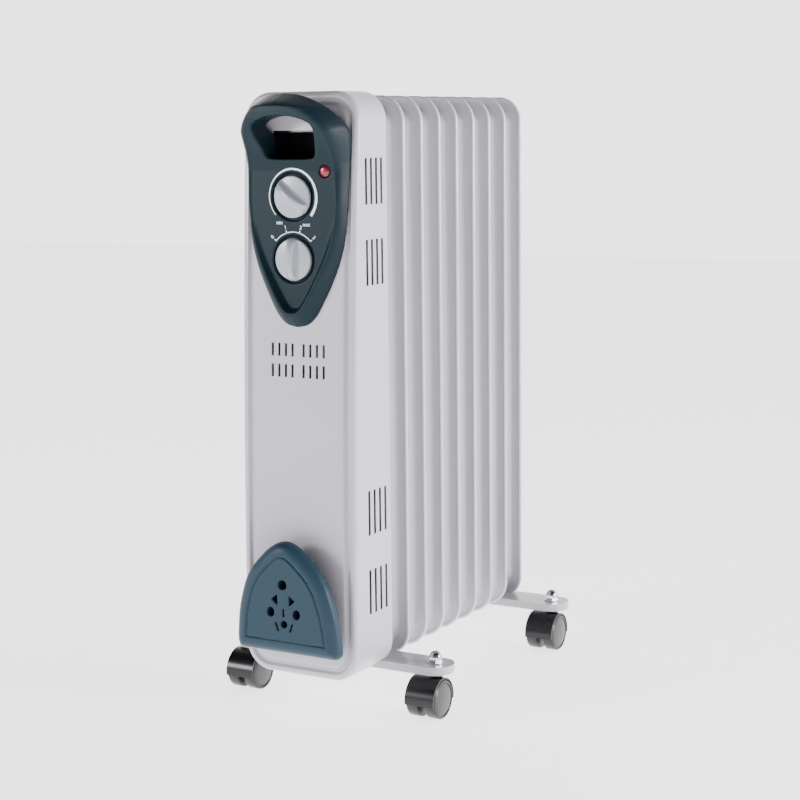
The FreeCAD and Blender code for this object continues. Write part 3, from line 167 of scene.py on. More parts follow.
FINISHES: dict[Slot, Finish] = {
    Slot.SECTION: Finish("section_enamel", (0.52, 0.52, 0.56), 0.25, coat=0.8,
                         grain=Grain.ORANGE_PEEL, scale=520.0, bump=0.05),
    Slot.HOUSING: Finish("housing_enamel", (0.46, 0.44, 0.49), 0.38, coat=0.3,
                         grain=Grain.ORANGE_PEEL, scale=520.0, bump=0.05),
    Slot.GALVANISED: Finish("galvanised_steel", (0.45, 0.47, 0.49), 0.42, metallic=1.0,
                            grain=Grain.SPANGLE, scale=90.0, tint=0.2),
    Slot.ZINC: Finish("zinc_plate", (0.55, 0.56, 0.58), 0.32, metallic=1.0,
                      grain=Grain.BRUSHED, scale=600.0, bump=0.08),
    Slot.TEAL: Finish("teal_moulding", (0.0050, 0.0150, 0.0215), 0.42, specular=0.13,
                      grain=Grain.MOULDED, scale=1400.0, bump=0.05, tint=0.06),
    Slot.BLACK: Finish("black_moulding", (0.004, 0.004, 0.005), 0.28, coat=0.10, specular=0.32,
                       grain=Grain.MOULDED, scale=900.0, bump=0.015),
    Slot.KNOB: Finish("knob_moulding", (0.33, 0.345, 0.39), 0.28, coat=0.25,
                      grain=Grain.MOULDED, scale=1500.0, bump=0.03),
    Slot.LENS: Finish("red_lens", (0.22, 0.012, 0.024), 0.26, coat=0.25, glow=0.05),
    Slot.LAMP: Finish("lamp_glass", (0.80, 0.50, 0.35), 0.10),
    Slot.CONTROL: Finish("control_moulding", (0.62, 0.60, 0.52), 0.45,
                         grain=Grain.MOULDED, scale=900.0, bump=0.05),
    Slot.FOOT: Finish("foot_enamel", (0.42, 0.42, 0.45), 0.34, coat=0.35,
                      grain=Grain.ORANGE_PEEL, scale=520.0, bump=0.06),
    Slot.CHROME: Finish("chrome_plate", (0.50, 0.50, 0.52), 0.10, metallic=1.0, tint=0.01),
    Slot.SHAFT: Finish("bright_steel", (0.55, 0.55, 0.57), 0.22, metallic=1.0,
                       grain=Grain.BRUSHED, scale=800.0, bump=0.04),
    Slot.WHEEL: Finish("wheel_nylon", (0.008, 0.008, 0.009), 0.32, coat=0.1, specular=0.4,
                       grain=Grain.MOULDED, scale=1000.0, bump=0.02),
    Slot.GASKET: Finish("gasket", (0.02, 0.02, 0.02), 0.8, grain=Grain.MOULDED, scale=700.0, bump=0.2),
    Slot.ELEMENT: Finish("element_tube", (0.16, 0.15, 0.14), 0.4, metallic=1.0,
                         grain=Grain.BRUSHED, scale=500.0, bump=0.1, tint=0.15),
}

INK = Finish("white_ink", (0.86, 0.88, 0.90), 0.5, tint=0.0)
WHEEL_FACE = Finish("wheel_face", (0.016, 0.0165, 0.018), 0.36, coat=0.12,
                    grain=Grain.MOULDED, scale=1000.0, bump=0.01)
COVER_TEAL = Finish("cover_moulding", (0.0145, 0.0365, 0.0560), 0.42, specular=0.18,
                    grain=Grain.MOULDED, scale=1400.0, bump=0.05, tint=0.06)
# Painted shade: near-black finish for the housing's inward faces, so the vents and openings look dark
# inside.
INSIDE_SHADE = Finish("housing_inside_shade", (0.012, 0.012, 0.013), 0.7, grain=Grain.MOULDED, scale=500.0, bump=0.05)
COAT_ROUGHNESS = 0.12
FLOOR = Finish("studio_floor", (0.88, 0.88, 0.88), 0.9, tint=0.0, glow=2.50)


# ----------------------------------------------------------------------- materials


class MaterialMaker:
    """Builds and keeps one node material for each finish."""

    def __init__(self) -> None:
        self._made: dict[str, bpy.types.Material] = {}

    def get(self, finish: Finish) -> bpy.types.Material:
        """Material of a finish, made on first use.

        Args:
            finish: the finish wanted.
        Returns:
            the node material.
        """
        if finish.name not in self._made:
            self._made[finish.name] = self._build(finish)
        return self._made[finish.name]

    def _build(self, finish: Finish) -> bpy.types.Material:
        material = bpy.data.materials.new(finish.name)
        material.use_nodes = True
        tree = material.node_tree
        shader = tree.nodes["Principled BSDF"]
        opaque = (*finish.colour, 1.0)
        values = {
            "Metallic": finish.metallic, "Coat Weight": finish.coat, "Coat Roughness": COAT_ROUGHNESS,
            "Roughness": finish.roughness, "Specular IOR Level": finish.specular, "Base Color": opaque,
        }
        if finish.glow:
            values |= {"Emission Color": opaque, "Emission Strength": finish.glow}
        for label, value in values.items():
            shader.inputs[label].default_value = value
        place = tree.nodes.new("ShaderNodeTexCoord").outputs["Object"]
        if finish.tint > 0:
            self._drift(tree, shader, finish, place)
        if finish.grain is not Grain.PLAIN:
            self._relief(tree, shader, finish, place)
        return material

    def _drift(self, tree, shader, finish: Finish, place) -> None:
        """Slow drift of colour and roughness over the surface."""
        if finish.grain is Grain.SPANGLE:
            cloud = tree.nodes.new("ShaderNodeTexVoronoi")
            cloud.inputs["Scale"].default_value = finish.scale
            source = cloud.outputs["Color"]
        else:
            cloud = tree.nodes.new("ShaderNodeTexNoise")
            cloud.inputs["Scale"].default_value = 14.0
            cloud.inputs["Detail"].default_value = 6.0
            source = cloud.outputs[0]
        tree.links.new(place, cloud.inputs["Vector"])
        ramp = tree.nodes.new("ShaderNodeMix")
        ramp.data_type = "RGBA"
        low = tuple(c * (1 - finish.tint) for c in finish.colour)
        high = tuple(min(1.0, c * (1 + finish.tint)) for c in finish.colour)
        ramp.inputs["A"].default_value = (*low, 1.0)
        ramp.inputs["B"].default_value = (*high, 1.0)
        tree.links.new(source, ramp.inputs["Factor"])
        tree.links.new(ramp.outputs["Result"], shader.inputs["Base Color"])
        sheen = tree.nodes.new("ShaderNodeMapRange")
        sheen.inputs["To Min"].default_value = finish.roughness * 0.9
        sheen.inputs["To Max"].default_value = finish.roughness * 1.12
        tree.links.new(source, sheen.inputs["Value"])
        tree.links.new(sheen.outputs["Result"], shader.inputs["Roughness"])

    def _relief(self, tree, shader, finish: Finish, place) -> None:
        """Fine relief: enamel ripple, moulding grain or brush lines."""
        noise = tree.nodes.new("ShaderNodeTexNoise")
        noise.inputs["Scale"].default_value = finish.scale
        noise.inputs["Detail"].default_value = 2.0 if finish.grain is Grain.ORANGE_PEEL else 5.0
        if finish.grain is Grain.BRUSHED:
            stretch = tree.nodes.new("ShaderNodeMapping")
            stretch.inputs["Scale"].default_value = (1.0, 0.06, 1.0)
            tree.links.new(place, stretch.inputs["Vector"])
            place = stretch.outputs["Vector"]
        tree.links.new(place, noise.inputs["Vector"])
        relief = tree.nodes.new("ShaderNodeBump")
        relief.inputs["Strength"].default_value = finish.bump
        relief.inputs["Distance"].default_value = 0.0006
        tree.links.new(noise.outputs[0], relief.inputs["Height"])
        tree.links.new(relief.outputs["Normal"], shader.inputs["Normal"])


MATERIALS = MaterialMaker()


# ----------------------------------------------------------------------- mesh helpers


def link(name: str, data: bpy.types.ID) -> bpy.types.Object:
    """Make an object of some data and link it to the scene."""
    made = bpy.data.objects.new(name, data)
    bpy.context.scene.collection.objects.link(made)
    return made


def add_object(name: str, mesh: bpy.types.Mesh, finish: Finish, smooth: float = 40.0) -> bpy.types.Object:
    """Link a mesh as an object with one finish.

    Args:
        name: piece name.
        mesh: its mesh, in metres.
        finish: its finish.
        smooth: edges sharper than this many degrees stay sharp.
    Returns:
        the object.
    """
    mesh.materials.clear()
    mesh.materials.append(MATERIALS.get(finish))
    smooth_mesh(mesh, smooth)
    return link(name, mesh)


def smooth_mesh(mesh: bpy.types.Mesh, angle: float) -> None:
    """Shade a mesh smooth except over edges sharper than an angle in degrees."""
    mesh.polygons.foreach_set("use_smooth", np.ones(len(mesh.polygons), bool))
    mesh.set_sharp_from_angle(angle=math.radians(angle))
    mesh.update()


def mesh_from(name: str, points: Iterable[Sequence[float]],
              faces: Iterable[Sequence[int]]) -> bpy.types.Mesh:
    """Mesh from points in millimetres.

    Args:
        name: mesh name.
        points: vertices in millimetres.
        faces: vertex indices of each face.
    Returns:
        the mesh, in metres.
    """
    mesh = bpy.data.meshes.new(name)
    mesh.from_pydata([tuple(c * MM for c in p) for p in points], [], list(faces))
    mesh.validate()
    return mesh


def loft(rings: Sequence[Ring]) -> tuple[Ring, list[tuple[int, ...]]]:
    """Join equal rings of points with quads.

    Args:
        rings: rings of the same length.
    Returns:
        the points and the faces.
    """
    count = len(rings[0])
    points = [point for ring in rings for point in ring]
    faces = []
    for i in range(len(rings) - 1):
        a, b = i * count, (i + 1) * count
        for j in range(count):
            k = (j + 1) % count
            faces.append((a + j, a + k, b + k, b + j))
    return points, faces


def seal(mesh: bpy.types.Mesh, distance: float = 0.02) -> bpy.types.Mesh:
    """Weld points closer than a distance in millimetres and turn the faces outward."""
    work = bmesh.new()
    work.from_mesh(mesh)
    bmesh.ops.remove_doubles(work, verts=work.verts, dist=distance * MM)
    bmesh.ops.dissolve_degenerate(work, edges=work.edges, dist=1e-7)
    bmesh.ops.recalc_face_normals(work, faces=work.faces)
    work.to_mesh(mesh)
    work.free()
    return mesh


def lathe(profile: Sequence[tuple[float, float]], segments: int) -> tuple[Ring, list[tuple[int, ...]]]:
    """Turn a profile of (along, radius) about the X axis."""
    rings = []
    for along, radius in profile:
        angles = (2 * math.pi * i / segments for i in range(segments))
        rings.append([(along, radius * math.cos(angle), radius * math.sin(angle)) for angle in angles])
    return loft(rings)


def rounded_outline(half: float, low: float, high: float, radius: float,
                    corner: int = 12, side: int = 60, end: int = 14) -> list[tuple[float, float]]:
    """Points of a rounded rectangle in X and Z, anticlockwise from the lower right, symmetric about X = 0.

    Args:
        half: half width.
        low: lowest Z.
        high: highest Z.
        radius: corner radius.
        corner, side, end: steps along a corner, a long side and a short end.
    Returns:
        the points.
    """
    radius = max(0.02, min(radius, half - 0.005))
    x, z0, z1 = half - radius, low + radius, high - radius
    points: list[tuple[float, float]] = []

    def arc(cx: float, cz: float, start: float) -> None:
        for i in range(corner + 1):
            angle = math.radians(start + 90.0 * i / corner)
            points.append((cx + radius * math.cos(angle), cz + radius * math.sin(angle)))

    def line(a: tuple[float, float], b: tuple[float, float], steps: int) -> None:
        for i in range(1, steps):
            t = i / steps
            points.append((a[0] + (b[0] - a[0]) * t, a[1] + (b[1] - a[1]) * t))

    arc(x, z0, -90)
    line((half, z0), (half, z1), side)
    arc(x, z1, 0)
    line((x, high), (-x, high), end)
    arc(-x, z1, 90)
    line((-half, z1), (-half, z0), side)
    arc(-x, z0, 180)
    line((-x, low), (x, low), end)
    return points


def difference(target: bpy.types.Object, cutter: bpy.types.Object) -> None:
    """Cut one object by another and drop the cutter."""
    cut = target.modifiers.new("cut", "BOOLEAN")
    cut.operation = "DIFFERENCE"
    cut.solver = "EXACT"
    cut.object = cutter
    bake(target)
    bpy.data.objects.remove(cutter)


def evaluated(target: bpy.types.Object) -> bpy.types.Mesh:
    """Plain mesh of an object with its modifiers or its curve applied."""
    bpy.context.view_layer.update()
    graph = bpy.context.evaluated_depsgraph_get()
    return bpy.data.meshes.new_from_object(target.evaluated_get(graph), depsgraph=graph)


def bake(target: bpy.types.Object) -> None:
    """Replace an object's mesh by its evaluated mesh and drop its modifiers."""
    plain = evaluated(target)
    target.modifiers.clear()
    target.data = plain


# ----------------------------------------------------------------------- repeats by Geometry Nodes


@dataclass
class Repeat:
    """Geometry Nodes tree that repeats one piece along a line.

    Attributes:
        name: tree name.
        count: number of copies.
        step: offset from one copy to the next, in millimetres.
        seed: seed of the tiny turn given to each copy.
        wobble: greatest turn of a copy, in radians.
    """

    name: str
    count: int
    step: tuple[float, float, float]
    seed: int = 7
    wobble: float = 0.0

    def tree(self) -> bpy.types.NodeTree:
        """Build the tree with its named inputs.

        Returns:
            the node tree.
        """
        tree = bpy.data.node_groups.new(self.name, "GeometryNodeTree")
        sockets = (
            ("Geometry", "NodeSocketGeometry"), ("Piece", "NodeSocketObject"), ("Count", "NodeSocketInt"),
            ("Step", "NodeSocketVector"), ("Wobble", "NodeSocketFloat"), ("Seed", "NodeSocketInt"),
            ("Finish", "NodeSocketMaterial"),
        )
        for label, kind in sockets:
            tree.interface.new_socket(label, in_out="INPUT", socket_type=kind)
        tree.interface.new_socket("Geometry", in_out="OUTPUT", socket_type="NodeSocketGeometry")
        nodes, links = tree.nodes, tree.links
        given = nodes.new("NodeGroupInput")
        result = nodes.new("NodeGroupOutput")
        line = nodes.new("GeometryNodeMeshLine")
        line.mode = "OFFSET"
        source = nodes.new("GeometryNodeObjectInfo")
        source.transform_space = "ORIGINAL"
        source.inputs["As Instance"].default_value = True
        spread = nodes.new("GeometryNodeInstanceOnPoints")
        turn = nodes.new("FunctionNodeRandomValue")
        turn.data_type = "FLOAT_VECTOR"
        real = nodes.new("GeometryNodeRealizeInstances")
        paint = nodes.new("GeometryNodeSetMaterial")
        for way, limit in ((-1.0, turn.inputs[0]), (1.0, turn.inputs[1])):
            scaled = nodes.new("ShaderNodeVectorMath")
            scaled.operation = "SCALE"
            scaled.inputs[0].default_value = (way, way, way)
            links.new(given.outputs["Wobble"], scaled.inputs["Scale"])
            links.new(scaled.outputs["Vector"], limit)
        wires = (
            (given, "Count", line, "Count"), (given, "Step", line, "Offset"),
            (given, "Piece", source, "Object"), (given, "Seed", turn, "Seed"),
            (line, "Mesh", spread, "Points"),
            (source, "Geometry", spread, "Instance"), (turn, 0, spread, "Rotation"),
            (spread, "Instances", real, "Geometry"), (real, "Geometry", paint, "Geometry"),
            (given, "Finish", paint, "Material"), (paint, "Geometry", result, "Geometry"),
        )
        for giver, out, taker, into in wires:
            links.new(giver.outputs[out], taker.inputs[into])
        return tree

    def make(self, name: str, piece: bpy.types.Object, finish: Finish) -> bpy.types.Object:
        """Repeat a piece as one plain mesh, then drop the single piece.

        Args:
            name: name of the result.
            piece: the object to repeat, in its first place.
            finish: finish of the result.
        Returns:
            the repeated object.
        """
        holder = link(name, bpy.data.meshes.new(name + "_holder"))
        modifier = holder.modifiers.new("repeat", "NODES")
        tree = self.tree()
        modifier.node_group = tree
        names = {item.name: item.identifier for item in tree.interface.items_tree if item.in_out == "INPUT"}
        values = {
            "Piece": piece, "Count": self.count, "Step": tuple(c * MM for c in self.step),
            "Wobble": self.wobble, "Seed": self.seed, "Finish": MATERIALS.get(finish),
        }
        for label, value in values.items():
            modifier[names[label]] = value
        bake(holder)
        bpy.data.objects.remove(piece)
        smooth_mesh(holder.data, 40.0)
        return holder


# ----------------------------------------------------------------------- implicit solids


def smooth_path(points: Sequence[tuple[float, float]], steps: int = 10) -> Array:
    """Catmull-Rom path through points.

    Args:
        points: (a, b) pairs.
        steps: steps for each span.
    Returns:
        the path as an (n, 2) array.
    """
    p = np.array(points, float)
    ends = np.vstack([2 * p[0] - p[1], p, 2 * p[-1] - p[-2]])
    t = np.linspace(0, 1, steps, endpoint=False)[:, None]
    spans = []
    for a, b, c, d in zip(ends, ends[1:], ends[2:], ends[3:]):
        spans.append(0.5 * (2 * b + (c - a) * t + (2 * a - 5 * b + 4 * c - d) * t**2
                            + (3 * b - a - 3 * c + d) * t**3))
    return np.vstack([*spans, p[-1:]])


@dataclass
class Outline:
    """A flat outline that is symmetric about X = 0.

    Attributes:
        half: path of (x, z) on the right-hand side, from the bottom to the top.
    """

    half: Array

    def distance(self, x: Array, z: Array) -> Array:
        """Signed distance in millimetres, negative inside.

        Args:
            x, z: arrays that broadcast together.
        Returns:
            the distances.
        """
        px, pz = np.broadcast_arrays(np.abs(x), z)
        start, end = self.half[:-1], self.half[1:]
        best = np.full(px.shape, 1e9)
        inside = np.zeros(px.shape, bool)
        for (ax, az), (bx, bz) in zip(start, end):
            dx, dz = bx - ax, bz - az
            length = dx * dx + dz * dz + 1e-12
            t = np.clip(((px - ax) * dx + (pz - az) * dz) / length, 0, 1)
            best = np.minimum(best, (px - ax - t * dx) ** 2 + (pz - az - t * dz) ** 2)
            crosses = (az > pz) != (bz > pz)
            if abs(dz) > 1e-9:
                inside ^= crosses & (px < ax + (pz - az) / dz * dx)
        return np.where(inside, -1.0, 1.0) * np.sqrt(best)


def both(a: Array, b: Array, radius: float) -> Array:
    """Intersection of two fields with a rounded edge."""
    u, v = np.maximum(radius + a, 0), np.maximum(radius + b, 0)
    return np.minimum(-radius, np.maximum(a, b)) + np.hypot(u, v)


def either(a: Array, b: Array, radius: float) -> Array:
    """Union of two fields with a fillet."""
    return -both(-a, -b, radius)


def ease(t: Array) -> Array:
    """Smooth step from 0 to 1."""
    t = np.clip(t, 0, 1)
    return t * t * (3 - 2 * t)


@dataclass
class ImplicitSolid:
    """A solid given by a field that is negative inside, meshed by a surface net.

    Attributes:
        low: lowest corner of the box to search, in millimetres.
        high: its highest corner.
        step: cell size in millimetres.
        field: value at arrays of x, y, z.
    """

    low: tuple[float, float, float]
    high: tuple[float, float, float]
    step: float
    field: Callable[[Array, Array, Array], Array]

    def mesh(self, name: str) -> bpy.types.Mesh:
        """Mesh of the solid's surface.

        Args:
            name: mesh name.
        Returns:
            the mesh, in metres.
        """
        axes = [np.arange(a, b + self.step, self.step) for a, b in zip(self.low, self.high)]
        x, y, z = axes[0][:, None, None], axes[1][None, :, None], axes[2][None, None, :]
        values = np.broadcast_to(self.field(x, y, z), tuple(len(a) for a in axes)).astype(float)
        points, quads = self._net(values)
        points = (points * self.step + np.array(self.low)) * MM
        mesh = bpy.data.meshes.new(name)
        mesh.vertices.add(len(points))
        mesh.vertices.foreach_set("co", points.astype(np.float32).ravel())
        mesh.loops.add(len(quads) * 4)
        mesh.loops.foreach_set("vertex_index", quads.ravel().astype(np.int32))
        mesh.polygons.add(len(quads))
        mesh.polygons.foreach_set("loop_start", np.arange(0, len(quads) * 4, 4, dtype=np.int32))
        mesh.update(calc_edges=True)
        mesh.validate()
        log.info("%s: %d faces", name, len(quads))
        return mesh

    @staticmethod
    def _net(values: Array) -> tuple[Array, Array]:
        """Vertices, in cells, and quads of the surface net."""
        cells = tuple(n - 1 for n in values.shape)
        total = np.zeros((*cells, 3))
        count = np.zeros(cells, int)
        edges = []
        for axis in range(3):
            lower = np.take(values, range(values.shape[axis] - 1), axis=axis)
            upper = np.take(values, range(1, values.shape[axis]), axis=axis)
            cross = (lower < 0) != (upper < 0)
            gap = np.where(cross, lower - upper, 1.0)
            along = np.where(cross, lower / gap, 0.0)
            p, q = [(1, 2), (2, 0), (0, 1)][axis]
            for op in (0, 1):
                for oq in (0, 1):
                    pick = [slice(None)] * 3
                    pick[p] = slice(op, op + cells[p])
                    pick[q] = slice(oq, oq + cells[q])
                    hit = cross[tuple(pick)]
                    total[..., axis] += along[tuple(pick)]
                    total[..., p] += hit * op
                    total[..., q] += hit * oq
                    count += hit
            edges.append((axis, p, q, cross, lower < 0))
        active = count > 0
        index = np.full(cells, -1)
        index[active] = np.arange(active.sum())
        where = np.argwhere(active)
        points = where + total[active] / count[active][:, None]
        quads = []
        for axis, p, q, cross, inside in edges:
            at = np.argwhere(cross)
            keep = (at[:, p] > 0) & (at[:, q] > 0) & (at[:, p] < cells[p]) & (at[:, q] < cells[q])
            at = at[keep]
            corners = []
            for op, oq in ((1, 1), (0, 1), (0, 0), (1, 0)):
                cell = at.copy()
                cell[:, p] -= op
                cell[:, q] -= oq
                corners.append(index[tuple(cell.T)])
            face = np.stack(corners, axis=1)
            outward = inside[tuple(at.T)]
            quads.append(np.where(outward[:, None], face, face[:, ::-1]))
        return points, np.vstack(quads)


def housing_face(z: Array | float) -> Array | float:
    """Y of the housing's bowed front at a height."""
    share = (z - HOUSING_LOW) / (HOUSING_HIGH - HOUSING_LOW)
    chord = HOUSING_BOTTOM_FACE + share * (HOUSING_TOP_FACE - HOUSING_BOTTOM_FACE)
    return chord - 4 * HOUSING_BOW * share * (1 - share)


# ----------------------------------------------------------------------- sub-assemblies


@dataclass
class Piece:
    """A finished object with what it rides on and stands for."""

    made: bpy.types.Object
    slot: Slot
    body: str = HEATER
    replaces: tuple[str, ...] = ()

    def place(self) -> None:
        """Hand the object to its CAD body."""
        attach(self.made, self.body)
        if self.replaces:
            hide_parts(*self.replaces)


@dataclass
class Sections:
    """The nine pressed sections with their header bosses.

    Attributes:
        half: half width over the rim.
        corner: rim corner radius.
        boss: header boss radius.
        bulge: panel height above the middle plane.
    """

    half: float = 65.0
    corner: float = 27.0
    boss: float = 23.0
    bulge: float = 7.8

    def profile(self) -> list[tuple[float, float]]:
        """Half section across the rim: inset from the outline and height above the middle plane."""
        rim = [(0.0, 0.0), (0.12, 0.8), (0.5, 1.45), (1.1, 1.9), (1.9, 2.1), (2.7, 1.9), (3.4, 1.4),
               (4.1, 0.95), (5.0, 0.8), (10.5, 0.8)]
        for i in range(1, 9):
            t = i / 8
            rim.append((10.5 + 9.5 * t, 0.8 + (self.bulge - 0.8) * t * t * (3 - 2 * t)))
        return rim + [(26.0, self.bulge), (40.0, self.bulge), (64.9, self.bulge)]

    def plate(self) -> bpy.types.Mesh:
        """One section at the first place."""
        rings: list[Ring] = []
        profile = self.profile()
        for side in (1, -1):
            part = profile if side == 1 else profile[1:]
            layer = []
            for inset, height in part:
                flat = rounded_outline(self.half - inset, SECTION_LOW + inset, SECTION_HIGH - inset,
                                       self.corner - inset * 0.8, corner=10, side=6, end=4)
                layer.append([(x, SECTION_FIRST - side * height, z) for x, z in flat])
            rings = layer[::-1] if side == 1 else rings + layer
        points, faces = loft(rings)
        return seal(mesh_from("section", points, faces), 0.25)

    def boss_mesh(self, start: float, end: float) -> bpy.types.Mesh:
        """Both header bosses between two planes, waisted like pressed necks."""
        mid = (start + end) / 2
        profile = [(start, self.boss + 2.2), (start + 0.8, self.boss + 0.9), (start + 2.5, self.boss),
                   (mid - 0.6, self.boss), (mid, self.boss + 0.55), (mid + 0.6, self.boss),
                   (end - 2.5, self.boss), (end - 0.8, self.boss + 0.9), (end, self.boss + 2.2)]
        points: Ring = []
        faces: list[tuple[int, ...]] = []
        for height in (SECTION_LOW + HEADER_INSET, SECTION_HIGH - HEADER_INSET):
            ring, quads = lathe(profile, BOSS_SEGMENTS)
            base = len(points)
            points += [(b, a, c + height) for a, b, c in ring]
            faces += [tuple(base + i for i in quad) for quad in quads]
            faces.append(tuple(base + i for i in range(BOSS_SEGMENTS)))
            faces.append(tuple(base + len(ring) - 1 - i for i in range(BOSS_SEGMENTS)))
        return seal(mesh_from("bosses", points, faces))

    def build(self) -> list[Piece]:
        """Repeat the plate and the bosses along the heater."""
        finish = FINISHES[Slot.SECTION]
        plate = add_object("section_one", self.plate(), finish, 50)
        step = (0.0, SECTION_PITCH, 0.0)
        plates = Repeat("section_repeat", SECTION_COUNT, step, wobble=0.0006).make("sections", plate, finish)
        names = tuple(f"fin_{i}" for i in range(1, SECTION_COUNT + 1))
        pieces = [Piece(plates, Slot.SECTION, replaces=names)]
        first = SECTION_FIRST + self.bulge - 0.5
        last = first + SECTION_PITCH - 2 * self.bulge + 1.0
        boss = add_object("boss_one", self.boss_mesh(first, last), finish)
        bosses = Repeat("boss_repeat", SECTION_COUNT - 1, step).make("section_bosses", boss, finish)
        pieces.append(Piece(bosses, Slot.SECTION))
        return pieces


@dataclass
class Housing:
    """Drawn steel housing with a raised centre panel and vents.

    Attributes:
        corner: corner radius seen from the front.
        edge: radius of the front edge.
        wall: steel thickness.
    """

    corner: float = 28.5
    edge: float = 5.0
    wall: float = 0.7

    def front(self) -> list[tuple[float, float]]:
        """Front section from the side wall to the middle: inset and depth behind the bowed face."""
        steps = [(self.edge * (1 - math.cos(a)), self.edge * (1 - math.sin(a)))
                 for a in (math.radians(9 * i) for i in range(10))]
        groove = [(6.6, 0.15), (7.4, 0.9), (8.2, 2.1), (9.0, 3.0), (10.0, 3.3), (11.2, 3.0), (12.2, 2.1),
                  (13.0, 0.9), (13.9, 0.15), (15.0, 0.0)]
        return steps + groove + [(18.0, 0.0), (28.0, 0.0), (40.0, 0.0), (54.0, 0.0), (66.49, 0.0)]

    def skin(self, shrink: float) -> list[Ring]:
        """Rings from the rear edge to the middle of the front, shrunk by a wall."""
        rings: list[Ring] = []

        def ring(inset: float, depth: Callable[[float], float]) -> Ring:
            flat = rounded_outline(HOUSING_HALF - shrink - inset, HOUSING_LOW + shrink + inset,
                                   HOUSING_HIGH - shrink - inset, self.corner - shrink - inset)
            return [(x, depth(z), z) for x, z in flat]

        for share in (0.0, 0.04, 0.5, 0.96):
            rings.append(ring(0.0, lambda z, s=share: HOUSING_REAR
                              + s * (housing_face(z) + shrink + self.edge - HOUSING_REAR)))
        for inset, depth in self.front():
            inset = min(inset, HOUSING_HALF - shrink - 0.01)
            rings.append(ring(inset, lambda z, d=depth: housing_face(z) + shrink * 2.2 + d))
        return rings

    def slots(self) -> bpy.types.Object:
        """Every vent slot as one cutter, each row repeated from one slot."""
        finish = FINISHES[Slot.HOUSING]
        parts = []

        def row(name: str, at: tuple[float, float, float], size: tuple[float, float, float],
                count: int, step: tuple[float, float, float]) -> None:
            one = box_object(name + "_one", at, size, finish)
            parts.append(Repeat(name, count, step).make(name + "_cut", one, finish))

        side_slot, front_slot = (150.0, 4.1, 45.0), (2.9, 40.0, 13.0)
        last = HOUSING_REAR - 10.5
        for i, (z, pitch) in enumerate(((543.0, 9.7), (464.0, 9.7), (215.0, 10.5), (134.5, 10.5))):
            row(f"side_slots_{i}", (0.0, last, z), side_slot, 4, (0.0, -pitch, 0.0))
        for i, z in enumerate((377.5, 356.7)):
            for x in (-29.9, 6.5):
                name = f"front_slots_{i}_{'l' if x < 0 else 'r'}"
                row(name, (x, -172.0, z), front_slot, 4, (7.8, 0.0, 0.0))
        parts.append(box_object("pocket_cut", (0.0, -150.0, 578.0), (61.8, 60.0, 29.2), finish))
        parts.append(box_object("foot_cut", (0.0, -100.0, 42.0), (116.5, 24.8, 24.0), finish))
        return join("housing_cutter", parts)

    def build(self) -> list[Piece]:
        """Shell with its openings."""
        points, faces = loft(self.skin(0.0)[::-1] + self.skin(self.wall))
        mesh = seal(mesh_from("housing", points, faces), 0.05)
        shell = add_object("housing", mesh, FINISHES[Slot.HOUSING])
        difference(shell, self.slots())
        smooth_mesh(shell.data, 35.0)
        # Painted shade on the inward faces, seen through the vents.
        self.darken(shell.data)
        return [Piece(shell, Slot.HOUSING, replaces=("front_housing",))]

    @staticmethod
    def darken(mesh: bpy.types.Mesh) -> None:
        """Give the faces that look inward a near-black finish: painted shade inside the vents and openings.
        """
        mesh.materials.append(MATERIALS.get(INSIDE_SHADE))
        middle = (HOUSING_LOW + HOUSING_HIGH) / 2
        for face in mesh.polygons:
            x, y, z = face.center / MM
            sideways = face.normal.x * x + face.normal.z * (z - middle)
            beside = y > housing_face(z) + 8.0 and abs(face.normal.y) < 0.35
            inward = sideways < 0 if beside else face.normal.y > 0.35
            if inward and y < HOUSING_REAR - 0.5:
                face.material_index = 1


def box_object(name: str, centre: Sequence[float], size: Sequence[float],
               finish: Finish) -> bpy.types.Object:
    """A box by centre and size in millimetres."""
    x, y, z = (s / 2 for s in size)
    corners = [(centre[0] + a * x, centre[1] + b * y, centre[2] + c * z)
               for a in (-1, 1) for b in (-1, 1) for c in (-1, 1)]
    faces = [(0, 1, 3, 2), (4, 6, 7, 5), (0, 4, 5, 1), (2, 3, 7, 6), (0, 2, 6, 4), (1, 5, 7, 3)]
    return add_object(name, mesh_from(name, corners, faces), finish)


def join(name: str, parts: Sequence[bpy.types.Object]) -> bpy.types.Object:
    """Join separate objects into one plain object."""
    work = bmesh.new()
    for part in parts:
        work.from_mesh(part.data)
    mesh = bpy.data.meshes.new(name)
    work.to_mesh(mesh)
    work.free()
    material = parts[0].data.materials[0]
    for part in parts:
        bpy.data.objects.remove(part)
    mesh.materials.append(material)
    return link(name, mesh)


